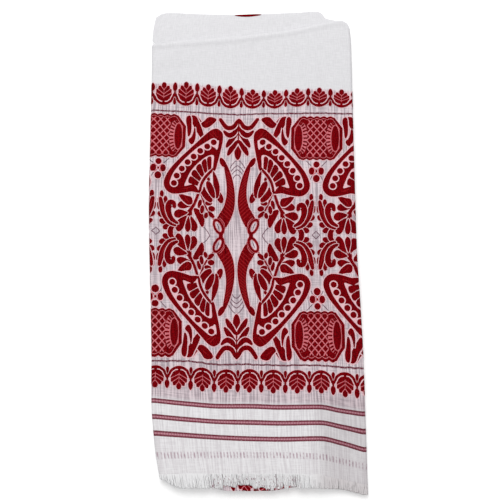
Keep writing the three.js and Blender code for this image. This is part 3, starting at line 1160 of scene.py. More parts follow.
@dataclass(frozen=True)
class BorderLeaf(Motif):
    """One leaf of the border under its arch: x from its middle, y from its tip towards the figures."""

    pitch: float = 26.4
    side: Points = (
        # one side of the leaf, from the foot up over its three lobes
        (0, 20.4), (3.8, 20), (6.6, 18), (7.8, 15.4), (9.1, 13.2), (8.7, 10.9), (8.8, 8.1), (6.7, 7.1),
        (6.1, 3.9), (4, 4), (2.4, 5),
    )
    veins: tuple[tuple[float, float, float], ...] = (
        # foot on the midrib, then the notch it runs to
        (8.2, 3.6, 3.9), (12.8, 7.4, 7.2), (16.4, 9, 11.6),
    )

    def outlines(self) -> list[Outline]:
        """The arch, the flame and bud between leaves, the lobed leaf with its knob and veins."""
        half = self.pitch / 2
        one_side = [(-half - 0.8, 12.4), (-half + 0.9, 14), (-10.6, 16.8), (-8.4, 19.8), (-4.6, 22.3)]
        arch = [*one_side, (0, 23.2), *[(-x, y) for x, y in one_side[::-1]]]
        found = edged([ribbon(arch, [2.8, 3, 3, 3.2, 3.6, 3.9, 3.6, 3.2, 3, 3, 2.8], steps=2)], 0.8)
        for side in (-1, 1):
            x = side * half
            found += edged([leaf((x, 16.2), (x, 24.2), 3.0, belly=0.68)], 0.6)
            found += edged([leaf((x, 9.4), (x, 0.2), 4.8, belly=0.42)], 0.9)
            found.append(bar((x, 14.4), (x, 8.6), 2.8, 1.1))
        points = [*self.side, *[(-x, y) for x, y in self.side[:0:-1]]]
        body, knob = swelled(Outline(tuple(points)), 0.35, Ink.RED), disc((0, 2.7), 2.8, 3.2)
        found += [swelled(body, 1.3, Ink.PALE), swelled(knob, 0.7, Ink.PALE), body, knob]
        found.append(bar((0, 19.6), (0, 23), 2.2, 3))
        for foot, x, y in self.veins:
            for side in (-1, 1):
                found.append(bar((0, foot), (side * x, y), 0.7, 0.75, Ink.ROSE))
        found.append(bar((0, 7.4), (0, 17.6), 0.3, 0.5, Ink.ROSE))
        return found


@dataclass(frozen=True)
class Tile:
    """A piece of the pattern cut from its outlines and laid flat."""

    name: str
    motifs: tuple[Motif, ...]
    low: Point
    high: Point
    fuller: float = 0.2
    frayed: float = 0.4
    closeness: float = 0.01

    @cached_property
    def shapes(self) -> list[Outline]:
        """All outlines, lowest first: rose edges under everything, and reds a little fuller than drawn."""
        drawn = [outline for motif in self.motifs for outline in motif.outlines()]
        red = [outline for outline in drawn if outline.ink is Ink.RED]
        shapes = [swelled(outline, self.fuller + self.frayed, Ink.ROSE) for outline in red]
        for outline in drawn:
            shapes.append(swelled(outline, self.fuller, Ink.RED) if outline.ink is Ink.RED else outline)
        return shapes

    @cached_property
    def divided(self) -> tuple[list[Vector], list[list[int]], list[Ink]]:
        """The corners, the faces between them and the ink that shows on each."""
        corners, rings = [], []
        for shape in self.shapes:
            rings.append(list(range(len(corners), len(corners) + len(shape.points))))
            corners += [Vector(point) for point in shape.ring()]
        points, _, faces, _, _, owners = delaunay_2d_cdt(corners, [], rings, 0, self.closeness)
        shown = [(face, self.shapes[max(owner)].ink) for face, owner in zip(faces, owners) if owner]
        return points, [face for face, _ in shown], [ink for _, ink in shown]

    def cut(self, ink: Ink) -> Mesh:
        """The faces that show one ink once all outlines lie over each other, trimmed to the tile."""
        bm = bmesh.new()
        points, faces, inks = self.divided
        verts = [bm.verts.new((point.x, point.y, 0)) for point in points]
        for face, top in zip(faces, inks):
            if top is ink:
                bm.faces.new([verts[i] for i in face])
        bmesh.ops.delete(bm, geom=[vert for vert in bm.verts if not vert.link_faces], context="VERTS")
        for axis in (0, 1):
            trim(bm, axis, self.low[axis], self.high[axis])
        return keep_mesh(bm, f"{self.name}_{ink.name.lower()}")


@dataclass(frozen=True)
class Setting:
    """Where a tile is repeated on the flat cloth."""

    across: float
    along: float
    scale_across: float
    scale_along: float

    def matrix(self) -> Matrix:
        """From the tile to the flat cloth; a minus scale mirrors it."""
        scale = Matrix.Diagonal((self.scale_across, self.scale_along, 1, 1))
        return Matrix.Translation((self.across, self.along, 0)) @ scale


@dataclass(frozen=True)
class Layout:
    """Where the woven band's parts lie along the near end."""

    horn_axis: float = 94.0
    half_repeat: float = 91.5
    field_middle: float = 267.05
    slant: float = 0.029
    lower_border: float = 89.2
    upper_border: float = 448.3
    upper_stretch: float = 1.07
    upper_shift: float = 2.2
    lower_shift: float = 1.6
    lower_widening: float = 0.02
    widening_from: float = 120.0
    border_cells_per_repeat: int = 7
    far_border_tips: float = 1036.5
    far_border_shift: float = 8.8
    most_repeats: int = 6
    most_leaves: int = 30
    margin: float = 10.0

    @property
    def cell(self) -> float:
        """The width of one border leaf on the cloth."""
        return 2 * self.half_repeat / self.border_cells_per_repeat

    def field(self, low: float, high: float) -> list[Setting]:
        """Every quarter repeat of the figures between two places across, before the warp's slant."""
        squeeze = self.half_repeat / HALF_REPEAT
        found = []
        for k in range(-self.most_repeats, self.most_repeats + 1):
            axis = self.horn_axis + k * 2 * self.half_repeat
            for way in (-1, 1):
                inner, outer = sorted((axis, axis + way * self.half_repeat))
                if outer <= low - self.margin or inner >= high + self.margin:
                    continue
                for up in (-1, 1):
                    found.append(Setting(axis, self.field_middle, way * squeeze, up))
        return found

    def leaf_middles(self, low: float, high: float, shift: float = 0.0) -> list[float]:
        """Where border leaves stand between two places across the cloth."""
        cells = range(-self.most_leaves, self.most_leaves)
        middles = [self.horn_axis + (k + 0.5) * self.cell + shift for k in cells]
        return [middle for middle in middles if low < middle < high]

    def borders(self, low: float, high: float) -> list[Setting]:
        """Every border leaf, of both borders, between two places across the cloth."""
        shrink = self.cell / BorderLeaf().pitch
        found = []
        for middle in self.leaf_middles(low - self.cell, high + self.cell):
            past = max(0.0, middle - self.widening_from)
            lower = middle + self.lower_shift + self.lower_widening * past
            wider = shrink * (1 + self.lower_widening) if past else shrink
            upper = middle + self.upper_shift
            found += [
                Setting(lower, self.lower_border, wider, 1),
                Setting(upper, self.upper_border, shrink, -self.upper_stretch),
            ]
        return found

    def far_border(self, low: float, high: float) -> list[Setting]:
        """Every leaf of the far end's inner border between two places across the cloth."""
        shrink = self.cell / BorderLeaf().pitch
        middles = self.leaf_middles(low, high, self.far_border_shift)
        return [Setting(middle, self.far_border_tips, shrink, 1) for middle in middles]


# ---------------------------------------------------------------- finishes


class Nodes:
    """Builds a node tree a line at a time."""

    def __init__(self, tree: NodeTree) -> None:
        """Starts on an empty tree."""
        tree.nodes.clear()
        self.tree = tree

    def new(self, kind: str, **settings: object) -> Node:
        """A node with its settings."""
        node = self.tree.nodes.new(kind)
        for name, value in settings.items():
            setattr(node, name, value)
        return node

    def feed(self, socket: Socket, value: object) -> None:
        """Links a socket, or gives it a value."""
        if isinstance(value, Socket):
            self.tree.links.new(value, socket)
        else:
            socket.default_value = value

    def math(self, operation: str, *values: object, clamp: bool = False) -> Socket:
        """One sum on numbers."""
        node = self.new("ShaderNodeMath", operation=operation, use_clamp=clamp)
        for socket, value in zip(node.inputs, values):
            self.feed(socket, value)
        return node.outputs[0]

    def times(self, first: object, second: object) -> Socket:
        """Two numbers multiplied."""
        return self.math("MULTIPLY", first, second)

    def plus(self, first: object, second: object) -> Socket:
        """Two numbers added."""
        return self.math("ADD", first, second)

    def minus(self, first: object, second: object) -> Socket:
        """The first number less the second."""
        return self.math("SUBTRACT", first, second)

    def wave(self, value: object, factor: float) -> Socket:
        """The sine of a value times a factor."""
        return self.math("SINE", self.times(value, factor))

    def rise(self, value: object, low: float, high: float, start: float = 0, end: float = 1) -> Socket:
        """A smooth step, from start where the value is low to end where it is high."""
        node = self.new("ShaderNodeMapRange", interpolation_type="SMOOTHSTEP")
        names = ("Value", "From Min", "From Max", "To Min", "To Max")
        for name, each in zip(names, (value, low, high, start, end)):
            self.feed(node.inputs[name], each)
        return node.outputs["Result"]

    def blend(self, share: object, first: object, second: object, kind: str = "MIX") -> Socket:
        """A mix of two colours."""
        node = self.new("ShaderNodeMix", data_type="RGBA", blend_type=kind)
        for number, value in ((0, share), (6, first), (7, second)):
            self.feed(node.inputs[number], value)
        return node.outputs[2]

    def split(self, vector: Socket) -> tuple[Socket, Socket]:
        """A vector's first two parts."""
        node = self.new("ShaderNodeSeparateXYZ")
        self.feed(node.inputs[0], vector)
        return node.outputs[0], node.outputs[1]

    def stretch(self, vector: Socket, across: float, along: float) -> Socket:
        """A vector with its first two parts scaled."""
        node = self.new("ShaderNodeVectorMath", operation="MULTIPLY")
        self.feed(node.inputs[0], vector)
        node.inputs[1].default_value = (across, along, 1)
        return node.outputs[0]

    def noise(
        self, place: Socket, across: float, along: float, detail: float = 2, roughness: float = 0.5
    ) -> Socket:
        """Smooth noise about 0.5, finer with a greater scale across or along."""
        node = self.new("ShaderNodeTexNoise")
        self.feed(node.inputs["Vector"], self.stretch(place, across, along))
        for name, value in (("Scale", 1.0), ("Detail", detail), ("Roughness", roughness)):
            node.inputs[name].default_value = value
        return node.outputs["Fac"]

    def group(self, tree: NodeTree, **values: object) -> Node:
        """A node group with what it is given."""
        node = self.new("ShaderNodeGroup", node_tree=tree)
        for name, value in values.items():
            self.feed(node.inputs[name], value)
        return node

    def seen(self) -> Socket:
        """1 where the camera sees the surface, straight or in a reflection, and 0 for other light."""
        path = self.new("ShaderNodeLightPath")
        return self.math("MAXIMUM", path.outputs["Is Camera Ray"], path.outputs["Is Glossy Ray"])


def shader_of(name: str, roughness: float, specular: float) -> tuple[Material, Nodes, Node]:
    """A new material, its nodes and its shader."""
    material = bpy.data.materials.new(name)
    material.use_nodes = True
    nodes = Nodes(material.node_tree)
    shader = nodes.new("ShaderNodeBsdfPrincipled")
    shader.inputs["Roughness"].default_value = roughness
    shader.inputs["Specular IOR Level"].default_value = specular
    nodes.feed(nodes.new("ShaderNodeOutputMaterial").inputs["Surface"], shader.outputs[0])
    return material, nodes, shader


def threads_group(
    name: str,
    pitch: float,
    outputs: Sequence[str],
    fill: Callable[[Nodes, Socket, Socket], Sequence[Socket]],
) -> NodeTree:
    """A node group that works from a place on the cloth and a pitch, both in millimetres.

    Args:
        name: the group's name.
        pitch: the pitch it has where none is given.
        outputs: the names of the numbers it gives.
        fill: works them out, from the nodes, the place and the pitch.

    Returns:
        The group, made once.
    """
    if name in bpy.data.node_groups:
        return bpy.data.node_groups[name]
    tree = bpy.data.node_groups.new(name, "ShaderNodeTree")
    tree.interface.new_socket("Place", in_out="INPUT", socket_type="NodeSocketVector")
    socket = tree.interface.new_socket("Pitch", in_out="INPUT", socket_type="NodeSocketFloat")
    socket.default_value = pitch
    for label in outputs:
        tree.interface.new_socket(label, in_out="OUTPUT", socket_type="NodeSocketFloat")
    nodes = Nodes(tree)
    given, made = nodes.new("NodeGroupInput"), nodes.new("NodeGroupOutput")
    values = fill(nodes, given.outputs["Place"], given.outputs["Pitch"])
    for label, value in zip(outputs, values):
        nodes.feed(made.inputs[label], value)
    return tree


def weave_group() -> NodeTree:
    """Plain weave: warp and weft threads that pass over each other, uneven as handspun yarn is."""

    def fill(nodes: Nodes, place: Socket, pitch: Socket) -> tuple[Socket, Socket]:
        """Height and tone."""
        waves = [nodes.wave(nodes.math("DIVIDE", each, pitch), math.pi) for each in nodes.split(place)]
        over = nodes.math("ABSOLUTE", nodes.times(*waves))
        uneven = nodes.plus(nodes.noise(place, 0.9, 0.12), nodes.noise(place, 0.1, 1.1))
        return nodes.plus(over, uneven), nodes.rise(uneven, 0.7, 1.3, 0.94, 1.04)

    return threads_group("woven_threads", 0.55, ("Height", "Tone"), fill)


def crinkle_group() -> NodeTree:
    """The fine upright ribs where the warp is drawn in by the inlay."""

    def fill(nodes: Nodes, place: Socket, pitch: Socket) -> tuple[Socket, Socket]:
        """Height and shade."""
        turns = nodes.math("DIVIDE", nodes.split(place)[0], pitch)
        wander = nodes.times(nodes.noise(place, 0.05, 0.005), 7.0)
        rib = nodes.wave(nodes.plus(turns, wander), math.tau)
        patch = nodes.rise(nodes.noise(place, 0.06, 0.03, 1), 0.3, 0.65)
        streak = nodes.noise(place, 0.3, 0.022)
        height = nodes.plus(nodes.times(rib, nodes.times(patch, 0.17)), streak)
        weft = nodes.times(nodes.minus(nodes.noise(place, 0.05, 0.8), 0.5), 0.5)
        return height, nodes.rise(nodes.plus(height, weft), 0.3, 0.72)

    return threads_group("warp_crinkle", 3.1, ("Height", "Shade"), fill)


@dataclass(frozen=True)
class Finish(ABC):
    """How a material looks."""

    name: str
    roughness: float
    specular: float = 0.02
    bump_depth: float = 0.12
    bump_strength: float = 0.8

    @abstractmethod
    def look(self, nodes: Nodes, place: Socket) -> tuple[Socket, Socket]:
        """Colour and height from the cloth's flat place, in millimetres."""

    def material(self, fold: Fold) -> Material:
        """Builds the material on the piece's flat map."""
        material, nodes, shader = shader_of(self.name, self.roughness, self.specular)
        flat = nodes.new("ShaderNodeUVMap", uv_map="flat")
        colour, height = self.look(nodes, nodes.stretch(flat.outputs[0], fold.length, fold.length))
        bump = nodes.new("ShaderNodeBump")
        bump.inputs["Distance"].default_value = self.bump_depth * MM
        bump.inputs["Strength"].default_value = self.bump_strength
        nodes.feed(bump.inputs["Height"], height)
        nodes.feed(shader.inputs["Base Color"], colour)
        nodes.feed(shader.inputs["Normal"], bump.outputs[0])
        return material


@dataclass(frozen=True)
class Rows:
    """Rows of one width woven along the weft, counted from the nearer end."""

    at: tuple[float, ...]
    half: float
    soft: float = 0.3

    def mask(self, nodes: Nodes, along: Socket, inset: float = 0.0) -> Socket:
        """1 on the rows and 0 off them.

        Args:
            nodes: the material's nodes.
            along: places along the cloth.
            inset: how much narrower the mask is on each side.

        Returns:
            The mask, smooth at its edges.
        """
        half = self.half - inset
        masks = []
        for row in self.at:
            away = nodes.math("ABSOLUTE", nodes.minus(along, row))
            masks.append(nodes.rise(away, half - self.soft / 2, half + self.soft / 2, 1, 0))
        total = masks[0]
        for mask in masks[1:]:
            total = nodes.plus(total, mask)
        return total


@dataclass(frozen=True)
class GroundFinish(Finish):
    """White cotton with its thin red rows, the pink cast of the figured band and painted shade on the
    right side near each end.
    """

    length: float = 1466.0
    plain: Colour = (0.77, 0.765, 0.785, 1)
    # painted light: the plain cotton below the figured band is given a lighter colour than the same cotton
    # above it, where less of the lamp's light falls
    painted_light_low_plain: Colour = (0.88, 0.865, 0.88, 1)
    figured: Colour = (0.79, 0.675, 0.71, 1)
    # streak: partly the mauve of floats behind the cloth, partly painted shade along the crinkle's ribs
    streak: Colour = (0.40, 0.33, 0.365, 1)
    red: Colour = (0.175, 0.024, 0.042, 1)
    pink: Colour = (0.56, 0.27, 0.32, 1)
    wine: Colour = (0.44, 0.17, 0.22, 1)
    fine: Colour = (0.14, 0.022, 0.038, 1)
    tick: Colour = (0.40, 0.25, 0.31, 1)
    # painted shade: a greyer colour laid over the ground on the right of the front near the ends, where
    # the cloth slopes away from the lamp
    painted_shade: Colour = (0.80, 0.78, 0.785, 1)
    painted_shade_share: float = 0.9
    painted_shade_across: tuple[float, float] = (406.0, 430.0)
    painted_shade_along: tuple[float, float] = (60.0, 110.0)
    band_from: float = 78.0
    band_to: float = 447.0
    band_soft: tuple[float, float] = (4.0, 2.0)
    plain_creases: float = 0.03
    low_creases: float = 0.24
    band_creases: float = 0.92
    stripes: Rows = Rows((39.0, 56.4, 73.7), 2.75)
    stripe_line: float = 1.9
    beat_pitch: float = 3.1
    fine_rows: Rows = Rows((119.7, 414.2), 0.95)
    fine_drift: float = 2.2
    tick_row: Rows = Rows((21.0,), 3.2, 2.2)
    tick_pitch: float = 3.7
    weave_height: float = 0.5
    crease_height: float = 8.0

    def look(self, nodes: Nodes, place: Socket) -> tuple[Socket, Socket]:
        """Ground with its creases, then stripes, fine rows, ticks, threads and the painted shade on the
        right side.
        """
        across, from_near = nodes.split(place)
        along = nodes.math("MINIMUM", from_near, nodes.minus(self.length, from_near))
        weave = nodes.group(weave_group(), Place=place)
        crinkle = nodes.group(crinkle_group(), Place=place)
        first_soft, last_soft = self.band_soft
        band = nodes.times(
            nodes.rise(along, self.band_from - first_soft, self.band_from + first_soft),
            nodes.rise(along, self.band_to - last_soft, self.band_to + last_soft, 1, 0),
        )
        lowest = nodes.rise(along, self.band_from - first_soft, self.band_from, 1, 0)
        colour = nodes.blend(band, nodes.blend(lowest, self.plain, self.painted_light_low_plain), self.figured)
        outside = nodes.plus(nodes.times(lowest, self.low_creases), self.plain_creases)
        creased = nodes.plus(nodes.times(band, self.band_creases), outside)
        # painted shade along the crinkle's ribs, drawing the ground towards the streak colour
        colour = nodes.blend(nodes.times(crinkle.outputs["Shade"], creased), colour, self.streak)
        colour = self.striped(nodes, place, along, colour)
        colour = self.lined(nodes, place, along, colour)
        colour = self.ticked(nodes, place, along, colour)
        colour = nodes.blend(1.0, colour, weave.outputs["Tone"], "MULTIPLY")
        # painted shade on the right of the front near the ends
        painted_shade_mask = nodes.times(
            nodes.rise(across, *self.painted_shade_across), nodes.rise(along, *self.painted_shade_along, 1, 0)
        )
        shaded = nodes.blend(1.0, colour, self.painted_shade, "MULTIPLY")
        colour = nodes.blend(nodes.times(painted_shade_mask, self.painted_shade_share), colour, shaded)
        creases = nodes.times(nodes.times(crinkle.outputs["Height"], creased), self.crease_height)
        threads = nodes.times(weave.outputs["Height"], self.weave_height)
        return colour, nodes.plus(threads, creases)

    def striped(self, nodes: Nodes, place: Socket, along: Socket, colour: Socket) -> Socket:
        """Adds the stripes: two red lines with a pink and wine row between them."""
        worn = nodes.rise(nodes.noise(place, 1.3, 0.4), 0.3, 0.55, 0.82, 1)
        beat = nodes.wave(nodes.split(place)[0], math.tau / self.beat_pitch)
        inside = nodes.blend(nodes.rise(beat, -0.6, 0.8), self.pink, self.wine)
        stripe = self.stripes.mask(nodes, along)
        middle = self.stripes.mask(nodes, along, self.stripe_line)
        return nodes.blend(middle, nodes.blend(nodes.times(stripe, worn), colour, self.red), inside)

    def lined(self, nodes: Nodes, place: Socket, along: Socket, colour: Socket) -> Socket:
        """Adds the fine rows at both edges of the figures, in slight steps."""
        step = nodes.minus(nodes.noise(place, 0.16, 0.004), 0.5)
        stepped = nodes.plus(along, nodes.times(step, self.fine_drift))
        patchy = nodes.rise(nodes.noise(place, 0.5, 0.3), 0.3, 0.6, 0.62, 1)
        return nodes.blend(nodes.times(self.fine_rows.mask(nodes, stepped), patchy), colour, self.fine)

    def ticked(self, nodes: Nodes, place: Socket, along: Socket, colour: Socket) -> Socket:
        """Adds the row of short faded ticks near the end."""
        turns = nodes.math("DIVIDE", nodes.split(place)[0], self.tick_pitch)
        ticks = nodes.times(
            nodes.rise(nodes.wave(turns, math.tau), -0.7, 1.1), self.tick_row.mask(nodes, along)
        )
        faded = nodes.rise(nodes.noise(place, 0.35, 0.2, 1), 0.3, 0.65, 0.15, 0.85)
        return nodes.blend(nodes.times(ticks, faded), colour, self.tick)


@dataclass(frozen=True)
class InlayFinish(Finish):
    """Cotton inlaid in short floats, one colour with the depth of its threads."""

    deep: Colour = (0.062, 0.0002, 0.0012, 1)
    bright: Colour = (0.29, 0.0016, 0.0048, 1)
    float_pitch: float = 1.1
    crease_height: float = 7.0

    def look(self, nodes: Nodes, place: Socket) -> tuple[Socket, Socket]:
        """Floats along the weft, crossed by the warp's crinkle."""
        weave = nodes.group(weave_group(), Place=place, Pitch=self.float_pitch)
        crinkle = nodes.group(crinkle_group(), Place=place)
        speck = nodes.rise(nodes.noise(place, 0.8, 1.1, 3, 0.6), 0.36, 0.64)
        # painted shade along the crinkle's ribs darkens the red
        share = nodes.plus(nodes.times(crinkle.outputs["Shade"], -0.3), speck)
        colour = nodes.blend(nodes.math("ADD", share, 0.12, clamp=True), self.deep, self.bright)
        creases = nodes.times(crinkle.outputs["Height"], self.crease_height)
        return colour, nodes.plus(weave.outputs["Height"], creases)


@dataclass(frozen=True)
class StrandFinish(Finish):
    """Loose warp ends: white, with painted shade towards the right side, and dark flecks on one stretch.
    """

    bump_depth: float = 0.08
    bump_strength: float = 0.5
    pale: Colour = (0.91, 0.905, 0.915, 1)
    grey: Colour = (0.86, 0.85, 0.86, 1)
    # painted shade: the strands on the right side are greyer, to go with the ground's painted shade there
    shaded: Colour = (0.71, 0.67, 0.68, 1)
    shaded_from: float = 400.0
    shaded_to: float = 432.0
    # dark mauve flecks on the strands past the cloth's end, on one stretch across
    fleck_colour: Colour = (0.30, 0.14, 0.18, 1)
    fleck_from: float = 286.0
    fleck_to: float = 398.0
    fleck_soft: float = 5.0
    fleck_share: float = 0.85

    def look(self, nodes: Nodes, place: Socket) -> tuple[Socket, Socket]:
        """Each bunch a little lighter or greyer, with the twist of its yarn."""
        across, along = nodes.split(place)
        bunch = nodes.rise(nodes.noise(place, 0.5, 0.02), 0.4, 0.7)
        colour = nodes.blend(bunch, self.pale, self.grey)
        # painted shade towards the right side
        colour = nodes.blend(nodes.rise(across, self.shaded_from, self.shaded_to), colour, self.shaded)
        inside = nodes.times(
            nodes.rise(across, self.fleck_from, self.fleck_from + self.fleck_soft),
            nodes.rise(across, self.fleck_to - self.fleck_soft, self.fleck_to, 1, 0),
        )
        beyond = nodes.times(nodes.rise(along, -3.0, -1.0, 1, 0), self.fleck_share)
        fleck = nodes.rise(nodes.noise(place, 0.9, 0.28, 1), 0.6, 0.68)
        colour = nodes.blend(nodes.times(fleck, nodes.times(inside, beyond)), colour, self.fleck_colour)
        return colour, nodes.noise(place, 3.0, 3.0, 1)


# ---------------------------------------------------------------- the pieces


@dataclass
class GroundCloth:
    """The cloth itself, one sheet on all its folds."""

    bench: Bench
    column_step: float = 5.0
    hidden_step: float = 10.0
    row_step: float = 6.0
    brow_step: float = 1.3
    brow_rows: int = 8
    turn_rows: tuple[int, int] = (8, 7)
    run_lengths: tuple[float, float, float] = (512.0, 525.0, 400.0)
    edge_reach: float = 45.0
    edge_step: float = 2.0

    def columns(self) -> list[float]:
        """Places across where the sheet is divided."""
        fold = self.bench.fold
        under = fold.panel + fold.right_arc
        spans = (
            (fold.left_selvedge, -fold.left_arc, self.hidden_step),
            (0, fold.panel, self.column_step),
            (under, fold.panel + self.edge_reach, self.edge_step),
            (fold.panel + self.edge_reach, fold.right_selvedge, self.column_step),
        )
        places = [place for low, high, step in spans for place in spread(low, high, step)]
        return sorted({round(place, 6) for place in (*places, *fold.turn_columns())})

    def rows(self) -> list[tuple[int, float]]:
        """Rows along the sheet, as the number of the stretch they lie on and a share of it.

        The front run has finer rows just before the top turn.
        """
        front, back, inner = self.run_lengths
        top_turn, bottom_turn = self.turn_rows
        counts = (
            round(front / self.row_step),
            top_turn,
            round(back / self.row_step),
            bottom_turn,
            round(inner / self.hidden_step),
        )
        found = [(0, 0.0)]
        for stretch, count in enumerate(counts):
            found += [(stretch, (i + 1) / count) for i in range(count)]
        found += [(0, 1 - i * self.brow_step / front) for i in range(1, self.brow_rows + 1)]
        return sorted(found)

    def stations(self, across: np.ndarray) -> np.ndarray:
        """Where the five stretches of the letter fold start and end along each warp thread."""
        fold = self.bench.fold
        top, bottom = fold.run_ends(across)
        lengths = [
            np.zeros_like(top),
            top - fold.near_end,
            np.full_like(top, math.pi * fold.top_turn),
            top - bottom,
            np.full_like(top, math.pi * fold.bottom_turn),
        ]
        return np.vstack([np.cumsum(lengths, axis=0), np.full_like(top, fold.length)])

    def build(self, material: Material) -> Object:
        """Makes the flat grid, its map, its folds and its thickness."""
        columns, rows = self.columns(), self.rows()
        stations = self.stations(np.array(columns))
        cells = len(columns) - 1, len(rows) - 1
        bm = bmesh.new()
        bmesh.ops.create_grid(bm, x_segments=cells[0], y_segments=cells[1], size=0.5)
        for vert in bm.verts:
            i = round((vert.co.x + 0.5) * cells[0])
            stretch, share = rows[round((vert.co.y + 0.5) * cells[1])]
            low, high = stations[stretch][i], stations[stretch + 1][i]
            vert.co = (columns[i], low + (high - low) * share, 0)
        write_flat_uv(bm, self.bench.fold)
        piece = finish_piece(bm, "ground_cloth", material)
        self.bench.set(piece.data)
        wall = piece.modifiers.new("thickness", "SOLIDIFY")
        wall.thickness = self.bench.fold.sheet * MM
        wall.offset = 0
        piece.modifiers.new("broad_faces", "WEIGHTED_NORMAL").weight = 50
        return piece


@dataclass
class Inlay:
    """The red, pale and mauve floats woven into the ground cloth."""

    bench: Bench
    layout: Layout = field(default_factory=Layout)
    lift: float = 0.2
    selvedge_gap: float = 0.5
    grid_step: float = 11.0
    hidden_step: float = 30.0
    turn_gap: float = 9.0
    hidden_turn_gap: float = 3.0
    woven: tuple[float, float] = (80.0, 450.0)
    past_turn: float = 14.0
    far_past_turn: float = 20.0
    far_reach: float = 60.0
    far_shown: float = 15.0
    far_step: float = 1.0
    stray: Outline = leaf((337, 542.8), (370, 543.2), 3.4, bow=0.2)
    stray_reach: float = 3.0
    stray_step: float = 0.5
    closeness: float = 0.01
    leaf_rows: tuple[float, float] = (-2.0, 27.0)
    tiles: dict[Part, Tile] = field(default_factory=dict)

    def __post_init__(self) -> None:
        """Makes the two tiles: a quarter of the field's repeat, and one border leaf."""
        figures = (
            FineLines(), CrownSpray(), BandLeaves(), Drum(), Horn(), FlowerSpray(), Hat(), FlowerCross(),
        )
        half = BorderLeaf().pitch / 2
        low, high = zip((-half, half), self.leaf_rows)
        self.tiles[Part.FIELD] = Tile("field_quarter", figures, (0, 0), (HALF_REPEAT, HALF_FIELD))
        self.tiles[Part.BORDER] = Tile("border_leaf", (BorderLeaf(),), low, high)

    def build(self, part: Part, ink: Ink, material: Material) -> Object:
        """Lays one part's faces of one ink on the cloth.

        Args:
            part: the field or the borders.
            ink: which ink.
            material: its material.

        Returns:
            The piece, on the folds.
        """
        fold, layout = self.bench.fold, self.layout
        low, high = fold.left_selvedge + self.selvedge_gap, fold.panel + fold.right_arc + self.past_turn
        settings = layout.field(low, high) if part is Part.FIELD else layout.borders(low, high)
        cut = self.tiles[part].cut(ink)
        bm = self.laid(cut, settings)
        for vert in bm.verts:
            vert.co.x += layout.slant * (vert.co.y - layout.field_middle)
        trim(bm, 0, low, high)
        if part is Part.BORDER:
            bm.from_mesh(self.far_border(cut))
        elif ink is Ink.RED:
            self.add_stray(bm)
        bmesh.ops.remove_doubles(bm, verts=bm.verts, dist=self.closeness)
        hidden = spread(low, -fold.left_arc - self.hidden_turn_gap, self.hidden_step)
        shown = spread(self.turn_gap, fold.panel - self.turn_gap, self.grid_step)
        cut_along(bm, 0, [*hidden, *fold.turn_columns(), *shown])
        cut_along(bm, 1, spread(*self.woven, self.grid_step))
        for face in bm.faces:
            if face.normal.z < 0:
                face.normal_flip()
        write_flat_uv(bm, fold)
        piece = finish_piece(bm, f"{part.value}_{ink.name.lower()}", material, smooth=False)
        self.bench.set(piece.data, fold.sheet / 2 + self.lift)
        return piece

    def laid(self, cut: Mesh, settings: Sequence[Setting]) -> BMesh:
        """Copies a tile's faces onto the flat cloth at each setting."""
        bm = bmesh.new()
        for setting in settings:
            before = len(bm.verts)
            bm.from_mesh(cut)
            bm.verts.ensure_lookup_table()
            bmesh.ops.transform(bm, matrix=setting.matrix(), verts=bm.verts[before:])
        return bm

    def add_stray(self, bm: BMesh) -> None:
        """Adds the lone red leaf by the top fold of the right third, cut finely so that it bends."""
        ring = self.stray.ring()
        bm.faces.new([bm.verts.new((x, y, 0)) for x, y in ring])
        middle = ring[0][1]
        cut_along(bm, 1, spread(middle - self.stray_reach, middle + self.stray_reach, self.stray_step))

    def far_border(self, cut: Mesh) -> Mesh:
        """As much of the far end's inner border as the bottom fold shows."""
        fold, layout = self.bench.fold, self.layout
        low, high = layout.far_border_tips, layout.far_border_tips + self.far_shown
        far = self.laid(cut, layout.far_border(fold.left_selvedge, fold.panel + self.far_reach))
        trim(far, 0, fold.left_selvedge + self.selvedge_gap, fold.panel + self.far_past_turn)
        trim(far, 1, low - 1, high)
        cut_along(far, 1, spread(low, high, self.far_step))
        return keep_mesh(far, "far_border")


@dataclass(frozen=True)
class StrandLayer:
    """One layer of loose warp ends: spacing, width, shape, level, and how often a few are missing."""

    pitch: float
    radius: float
    flatness: float
    level: float
    reach: float
    gaps: float


